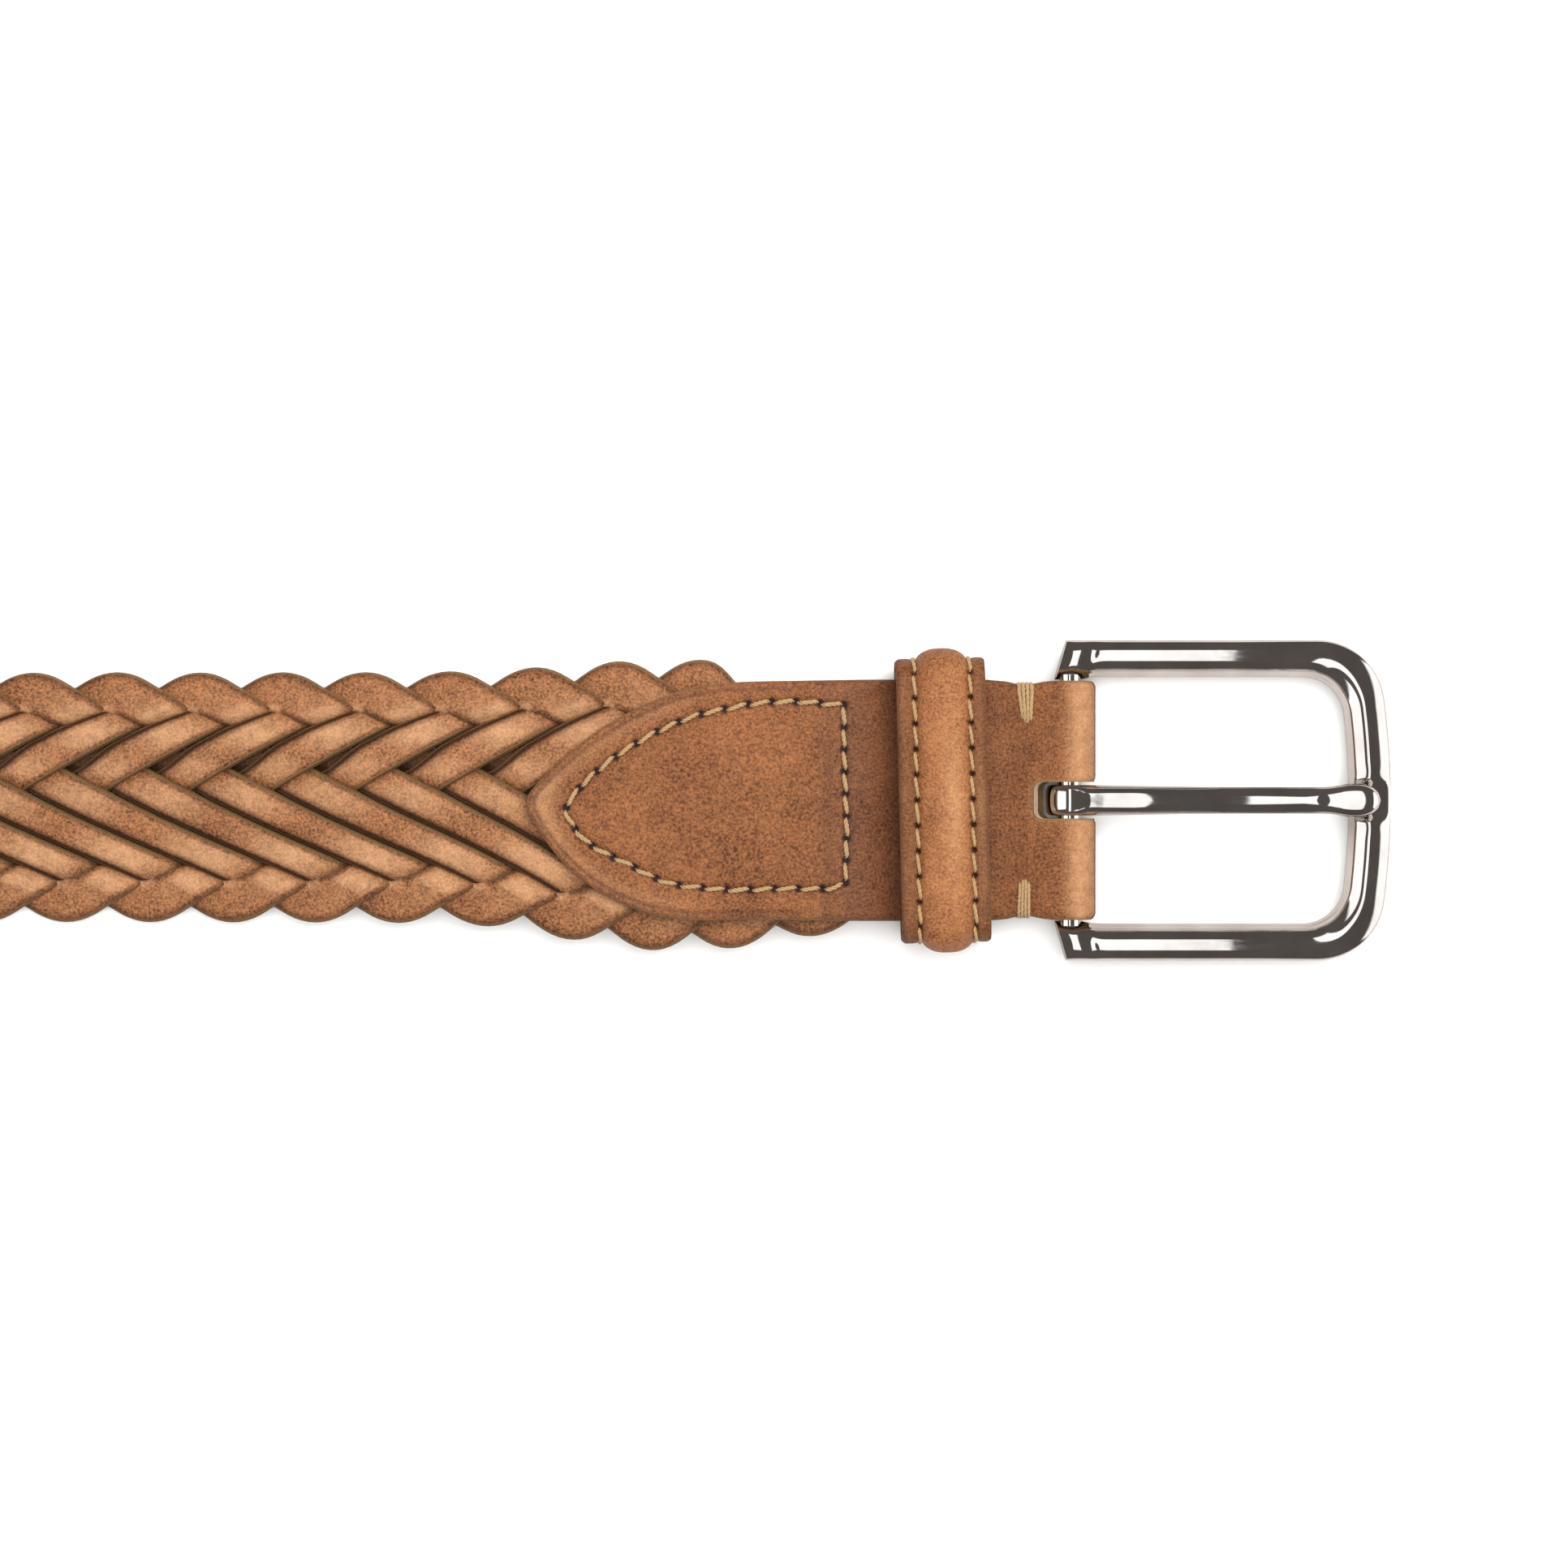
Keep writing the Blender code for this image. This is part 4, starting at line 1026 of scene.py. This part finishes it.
def build_keeper():
    ring = keeper_ring()
    y, z, out_y, out_z = ring.T
    lift = PADDING * smoothstep(z, KEEPER_LOW, KEEPER_HIGH - KEEPER_CORNER)
    inner = LINING + GAP
    half = KEEPER_WIDTH / 2
    pad_middle = 0.15
    seam_parts, holes = [], []
    front_end = 2 * CORNER_STEPS + LONG_STEPS - 1
    seam = np.arange(-14, front_end + 13)  # it runs on down both sides

    def at(x, off, rows=slice(None)):
        """Points of the loop at a place across its width, off millimetres outside its room."""
        return np.stack(np.broadcast_arrays(x, (y + off * out_y)[rows], (z + off * out_z)[rows]), -1)

    for row_x in KEEPER_ROWS:
        normal = np.stack([0.0 * seam, out_y[seam], out_z[seam]], -1)
        path = at(row_x, inner + BAND - 0.16, seam)
        parts, marks = stitch_row(path, normal, 3.6, 0.27, slant=0.17, hole=0.80, lift=0.12)
        seam_parts.append(parts)
        holes += list(marks)
    points, wear_and_shading = [], []
    for x in (-half, *np.linspace(-half + 0.12, half - 0.12, 51), half):
        edge = half - abs(x)
        pad = max(1 - (abs(x - pad_middle) / 3.55) ** 2.6, 0) ** 0.85
        groove = sum(0.26 * bump(x, row_x, 0.42) for row_x in KEEPER_ROWS)
        off = inner + BAND + pad * lift - groove - 0.32 * max(1 - edge / 0.6, 0) ** 2
        where = at(x, off)
        near = np.min([np.linalg.norm((where - hole) * (1.15, 1, 1), axis=1) for hole in holes], 0)
        points.append(at(x, off - 0.35 * smoothstep(-near, -0.55, -0.2)))
        # painted shade in the needle holes, the stitch grooves, at the edges and on the flanges beside the
        # pad
        dark = 0.95 * smoothstep(-near, -0.60, -0.30) + 0.9 * groove + 0.30 * max(1 - edge / 0.7, 0)
        dark = dark + 0.44 * smoothstep(abs(x - pad_middle), 3.6, 4.6)
        # painted highlight on the pad and the right flange, only on faces that look up
        light = 0.55 * pad * bump(x, 1.6, 1.5) * bump(y, 0, 11) + 0.30 * bump(x, 5.2, 0.7) * bump(y, -2, 8)
        wear_and_shading.append(wear_and_shade_colour(0.4 * (edge < 0.05), light * (out_z > 0.5), dark))
    for x in (half, half - 0.1, PAD_FOOT, PAD_TOP, -PAD_TOP, -PAD_FOOT, 0.1 - half, -half):
        points.append(at(x, inner + lift * (abs(x) < PAD_TOP + 0.01) + 0.25 * (abs(x) == half)))
        wear_and_shading.append(wear_and_shade_colour(0.75, 0.0, 0.2 + 0 * y))
    make("keeper_hide", [loft(np.stack(points, 1), cyclic=True)], keeper_tan, "keeper",
         ["keeper_band"], np.stack(wear_and_shading, 1).reshape(-1, 3), turn=KEEPER_TURN)
    for side, parts in zip(("left", "right"), seam_parts):
        stitches(f"keeper_stitches_{side}", parts, "keeper", [f"keeper_thread_{side}"], KEEPER_TURN)


# ---- buckle


FRAME_START = -0.5  # where the arms' outer and inner sides begin
WINDOW_START = -2.0
DOME_FOOT = 5.0  # height at which the polished top starts
DOME_RISE = 1.4
# the rail's section: shares across it from its outer side, and heights
RAIL = [
    (0.02, 2.4), (0.0, 3.0), (0.0, 4.2), (0.0, 5.15), (0.02, 5.42), (0.08, 5.72), (0.16, 6.0), (0.26, 6.24),
    (0.36, 6.37), (0.44, 6.4), (0.54, 6.33), (0.64, 6.12), (0.74, 5.83), (0.87, 5.35), (0.89, 4.6),
    (0.92, 4.35), (0.96, 4.05), (1.0, 3.6), (1.0, 3.0), (0.97, 2.4), (0.90, 2.05), (0.5, 2.0), (0.1, 2.05),
]


def frame_side(start, reach, half, corner):
    """One side of the frame: an arm, a round corner, the bowed end and the same mirrored."""
    lean = math.asin((half - corner) / (END_CURVE - corner))
    cx = reach - END_CURVE + (END_CURVE - corner) * math.cos(lean)
    turn = np.linspace(math.pi / 2, lean, 18)[:-1]
    end = np.linspace(lean, -lean, 60)
    steps = np.linspace(0, 1, 50)[:-1] ** 1.5
    half_side = np.concatenate([
        np.stack([start + (cx - start) * steps, 0 * steps + half], -1),
        np.stack([cx + corner * np.cos(turn), half - corner + corner * np.sin(turn)], -1),
    ])
    bow = np.stack([reach - END_CURVE + END_CURVE * np.cos(end), END_CURVE * np.sin(end)], -1)
    return np.concatenate([half_side, bow, (half_side * (1, -1))[::-1]])


def build_frame():
    outer = frame_side(FRAME_START, FRAME_REACH, FRAME_HALF, FRAME_CORNER)
    inner = frame_side(WINDOW_START, WINDOW_REACH, WINDOW_HALF, WINDOW_CORNER)
    along = np.arange(len(outer))
    from_end = np.minimum(along, along[::-1])
    points = []
    middle_x, middle_y = ((outer + inner) / 2).T
    at_end_rail = smoothstep(middle_x, 37, 42)
    seat = at_end_rail * (1 - smoothstep(np.abs(middle_y), 1.9, 3.3))
    shoulder = at_end_rail * bump(np.abs(middle_y), 3.9, 0.9)
    block = 1 - smoothstep(middle_x, 2.0, 4.4)
    # the top dips behind the end block, towards the end rail and at the arms' ends
    dip = 0.17 * bump(middle_x, 2.9, 0.8) + 0.28 * smoothstep(middle_x, 22.5, 38)
    dip = dip + 0.16 * np.maximum(0.3 - middle_x, 0) + 1.2 * (from_end < 0.5)
    for share, height in RAIL:
        flat = outer + (inner - outer) * (share ** (1 - 0.2 * at_end_rail) + 0.07 * share * block)[:, None]
        top = max(height - DOME_FOOT, 0) / DOME_RISE
        # the block that holds the bar has no lip
        solid = FRAME_HIGH - 1.5 * (2 * share - 1) ** 2
        filled = height + block * max(solid - height, 0) * (share > 0.44) * (height > 3.2)
        z = filled - 0.62 * seat * top + 0.10 * shoulder * top
        z = z - dip * np.clip(z - DOME_FOOT, 0, DOME_RISE) / DOME_RISE
        points.append(np.stack([flat[:, 0], flat[:, 1], z], -1))
    make("buckle_cast_frame", [loft(np.stack(points, 1))], metal, "frame",
         ["buckle_frame"], smooth_angle=62)
    turn = np.radians(np.arange(0, 360, 10))
    reach = np.linspace(-WINDOW_HALF - 0.3, WINDOW_HALF + 0.3, 12)[:, None]
    bar = np.broadcast_arrays(BAR_RADIUS * np.cos(turn), reach, BAR_Z + BAR_RADIUS * np.sin(turn))
    make("buckle_bar", [loft(np.stack(bar, -1))], metal, "frame", smooth_angle=60)


# the prong's top and lower side over the bar's axis, and half its width, at places along it
PRONG_REACH = 43.7
PRONG_TOP = [
    (0, 3.40), (1.1, 3.55), (2.4, 3.80), (5, 4.05), (9, 4.38), (12, 4.38), (17, 4.22), (22, 4.08),
    (25.5, 4.03), (30, 4.12), (34.7, 4.30), (35.6, 4.26), (36.3, 4.20), (37, 4.23), (38, 4.32), (40, 4.46),
    (42, 4.55), (42.7, 4.45), (43.3, 4.0), (PRONG_REACH, 3.2),
]
PRONG_LOW = [
    (0, 1.9), (0.6, 1.82), (1, 1.65), (1.4, 1.35), (1.7, 0.95), (2, 0), (2.6, -0.5), (3.4, -0.5), (5, 0.1),
    (10, 1.1), (25, 2.05), (41, 2.05), (43, 2.15), (PRONG_REACH, 2.6),
]
PRONG_SIDE = [
    (0, 2.15), (4, 2.15), (20, 1.9), (35.8, 1.88), (37.2, 1.98), (38.8, 2.32), (40.4, 2.45), (41.8, 2.25),
    (42.8, 1.7), (43.4, 1.05), (PRONG_REACH, 0.25),
]
EYE_POWER = 0.76  # below 1, a section is squarer than an ellipse
EYE_INSIDE = 1.87
EYE_OUTSIDE = 3.4
EYE_HALF = 2.15


def build_prong():
    """An eye round the bar and a shank that ends in a small almond."""
    x = np.concatenate([
        np.linspace(0.0, 4.0, 14),
        np.linspace(4.4, 30, 44),
        np.linspace(30.4, 41.5, 40),
        PRONG_REACH - 2.2 * np.linspace(1, 0, 14)[1:] ** 1.8,
    ])
    top, low, half = (np.interp(x, *zip(*line)) for line in (PRONG_TOP, PRONG_LOW, PRONG_SIDE))
    kernel = np.hanning(11) / np.hanning(11).sum()
    for line in (top, low, half):
        line[18:-6] = np.convolve(line, kernel, "same")[18:-6]
    angles = np.linspace(0, 2 * math.pi, 29)[:-1]

    def section(power):
        across, height = np.cos(angles), np.sin(angles)
        return np.sign(across) * np.abs(across) ** power, np.sign(height) * np.abs(height) ** power

    power = np.interp(x, [0, 9, 13, 22, 33, 38.5], [EYE_POWER, 0.78, 1.0, 1.35, 1.4, 0.95])
    across, height = section(power[:, None])
    top, low, half = top[:, None], low[:, None], half[:, None]
    z = BAR_Z + (top + low) / 2 + (top - low) / 2 * height
    shank = loft(np.stack(np.broadcast_arrays(x[:, None], half * across, z), -1))
    turn = np.radians(np.arange(0, 360, 8))[:, None]
    across, height = section(EYE_POWER)
    radius = (EYE_OUTSIDE + EYE_INSIDE) / 2 + (EYE_OUTSIDE - EYE_INSIDE) / 2 * height
    eye = np.broadcast_arrays(radius * np.cos(turn), EYE_HALF * across, BAR_Z + radius * np.sin(turn))
    shape = loft(np.stack(eye, -1), cyclic=True)
    prong = make("buckle_tongue", [shape], metal, "prong", ["prong"])
    combine(prong, "UNION", [shank], metal)


# ---- stage


IMAGE_SIZE = 1932
MM_PER_PIXEL = 0.115
SENSOR = 36
LENS = 100


def light(name, size, power, location, target, colour):
    """A soft panel that metal and wax don't mirror."""
    data = bpy.data.lights.new(name, "AREA")
    data.shape = "RECTANGLE"
    data.size, data.size_y = size
    data.energy = power
    data.color = colour
    lamp = bpy.data.objects.new(name, data)
    lamp.location = location
    lamp.rotation_euler = (Vector(target) - Vector(location)).to_track_quat("-Z", "Y").to_euler()
    lamp.visible_glossy = False
    bpy.context.scene.collection.objects.link(lamp)


def build_world():
    """White for the camera and a little less for soft light. Reflections show a dark room with
    three bright windows, overhead and at both ends of the belt."""
    world = bpy.data.worlds.new("studio")
    world.use_nodes = True
    bpy.context.scene.world = world
    g = Graph(world.node_tree)
    background = world.node_tree.nodes["Background"]
    parts = g.node("ShaderNodeSeparateXYZ")
    g.feed(parts.inputs[0], g.node("ShaderNodeTexCoord").outputs["Generated"])
    x, y, _ = parts.outputs

    def window(value, low, high, soft):
        rise = g.spread(value, low - soft, low + soft, smooth=True)
        fall = g.spread(value, high - soft, high + soft, 1.0, 0.0, smooth=True)
        return g.math("MULTIPLY", rise, fall)

    overhead = g.math("MULTIPLY", window(x, -0.12, 0.108, 0.006), window(y, -0.58, 0.58, 0.04))
    right = g.math("MULTIPLY", window(x, 0.70, 1.2, 0.03), window(y, -0.60, 0.60, 0.05))
    left = g.math("MULTIPLY", window(x, -0.97, -0.35, 0.02), window(y, -0.36, 0.36, 0.05))
    bright = g.math("MAXIMUM", overhead, g.math("MAXIMUM", right, left))
    room = g.mix(bright, (0.105, 0.092, 0.088), (1.5, 1.5, 1.5))
    paths = g.node("ShaderNodeLightPath")
    colour = g.mix(paths.outputs["Is Glossy Ray"], (1.0, 1.0, 1.0), room)
    g.feed(background.inputs["Color"], colour)
    strength = g.math("ADD", g.math("MULTIPLY", paths.outputs["Is Diffuse Ray"], -0.22), 1.0)
    g.feed(background.inputs["Strength"], strength)


def build_stage():
    mesh = bpy.data.meshes.new("floor")
    reach = 4.0
    corners = [(-reach, -reach, 0), (reach, -reach, 0), (reach, reach, 0), (-reach, reach, 0)]
    mesh.from_pydata(corners, [], [(0, 1, 2, 3)])
    made, g, shader = new_material("pale_floor")
    pale = g.mix(g.spread(g.noise(40, 2), 0.3, 0.7), (0.88, 0.88, 0.88), (0.90, 0.90, 0.90))
    # darker in reflections, as the polished sides of the buckle are in the photo
    glossy = g.node("ShaderNodeLightPath").outputs["Is Glossy Ray"]
    g.feed(shader["Base Color"], g.mix(glossy, pale, (0.44, 0.41, 0.395)))
    shader["Roughness"].default_value = 0.9
    shader["Specular IOR Level"].default_value = 0.1
    mesh.materials.append(made)
    floor = bpy.data.objects.new("floor", mesh)
    floor.location.z = -0.0002
    bpy.context.scene.collection.objects.link(floor)
    centre = Vector((BAR_X - 0.0405, 0.0023, 0.005))
    light("overhead_panel", (1.0, 1.0), 12.5, centre + Vector((0.10, 0.14, 0.95)), centre, (1.0, 0.985, 0.96))
    light("key_strip", (0.5, 0.25), 3.2, centre + Vector((0.35, 0.40, 0.62)), centre, (1.0, 0.97, 0.93))
    camera_data = bpy.data.cameras.new("camera")
    camera_data.lens = LENS
    camera_data.sensor_width = SENSOR
    distance = IMAGE_SIZE * MM_PER_PIXEL * MM / SENSOR * LENS
    camera = bpy.data.objects.new("camera", camera_data)
    camera.location = centre + Vector((0, 0, distance))
    camera_data.clip_start = 0.02
    camera_data.clip_end = 20
    bpy.context.scene.collection.objects.link(camera)
    bpy.context.scene.camera = camera
    settings = bpy.context.scene.view_settings
    settings.view_transform = "Standard"
    settings.look = "None"


# ---- assembly


for number in range(STRANDS):
    build_strand(number)
build_chape()
build_bar_tack("bar_tack_top", 1, -6.2, -6.35, 11.0, 0.58, 0.34)
build_bar_tack("bar_tack_bottom", -1, -6.5, -6.6, 11.2, 0.46, 0.40)
build_tip()
build_keeper()
build_frame()
build_prong()
for node, finish in (("keeper_lining", suede), ("keeper_core", felt)):
    mesh = frame["nodes"][node].data
    mesh.materials.clear()
    mesh.materials.append(finish)
build_world()
build_stage()
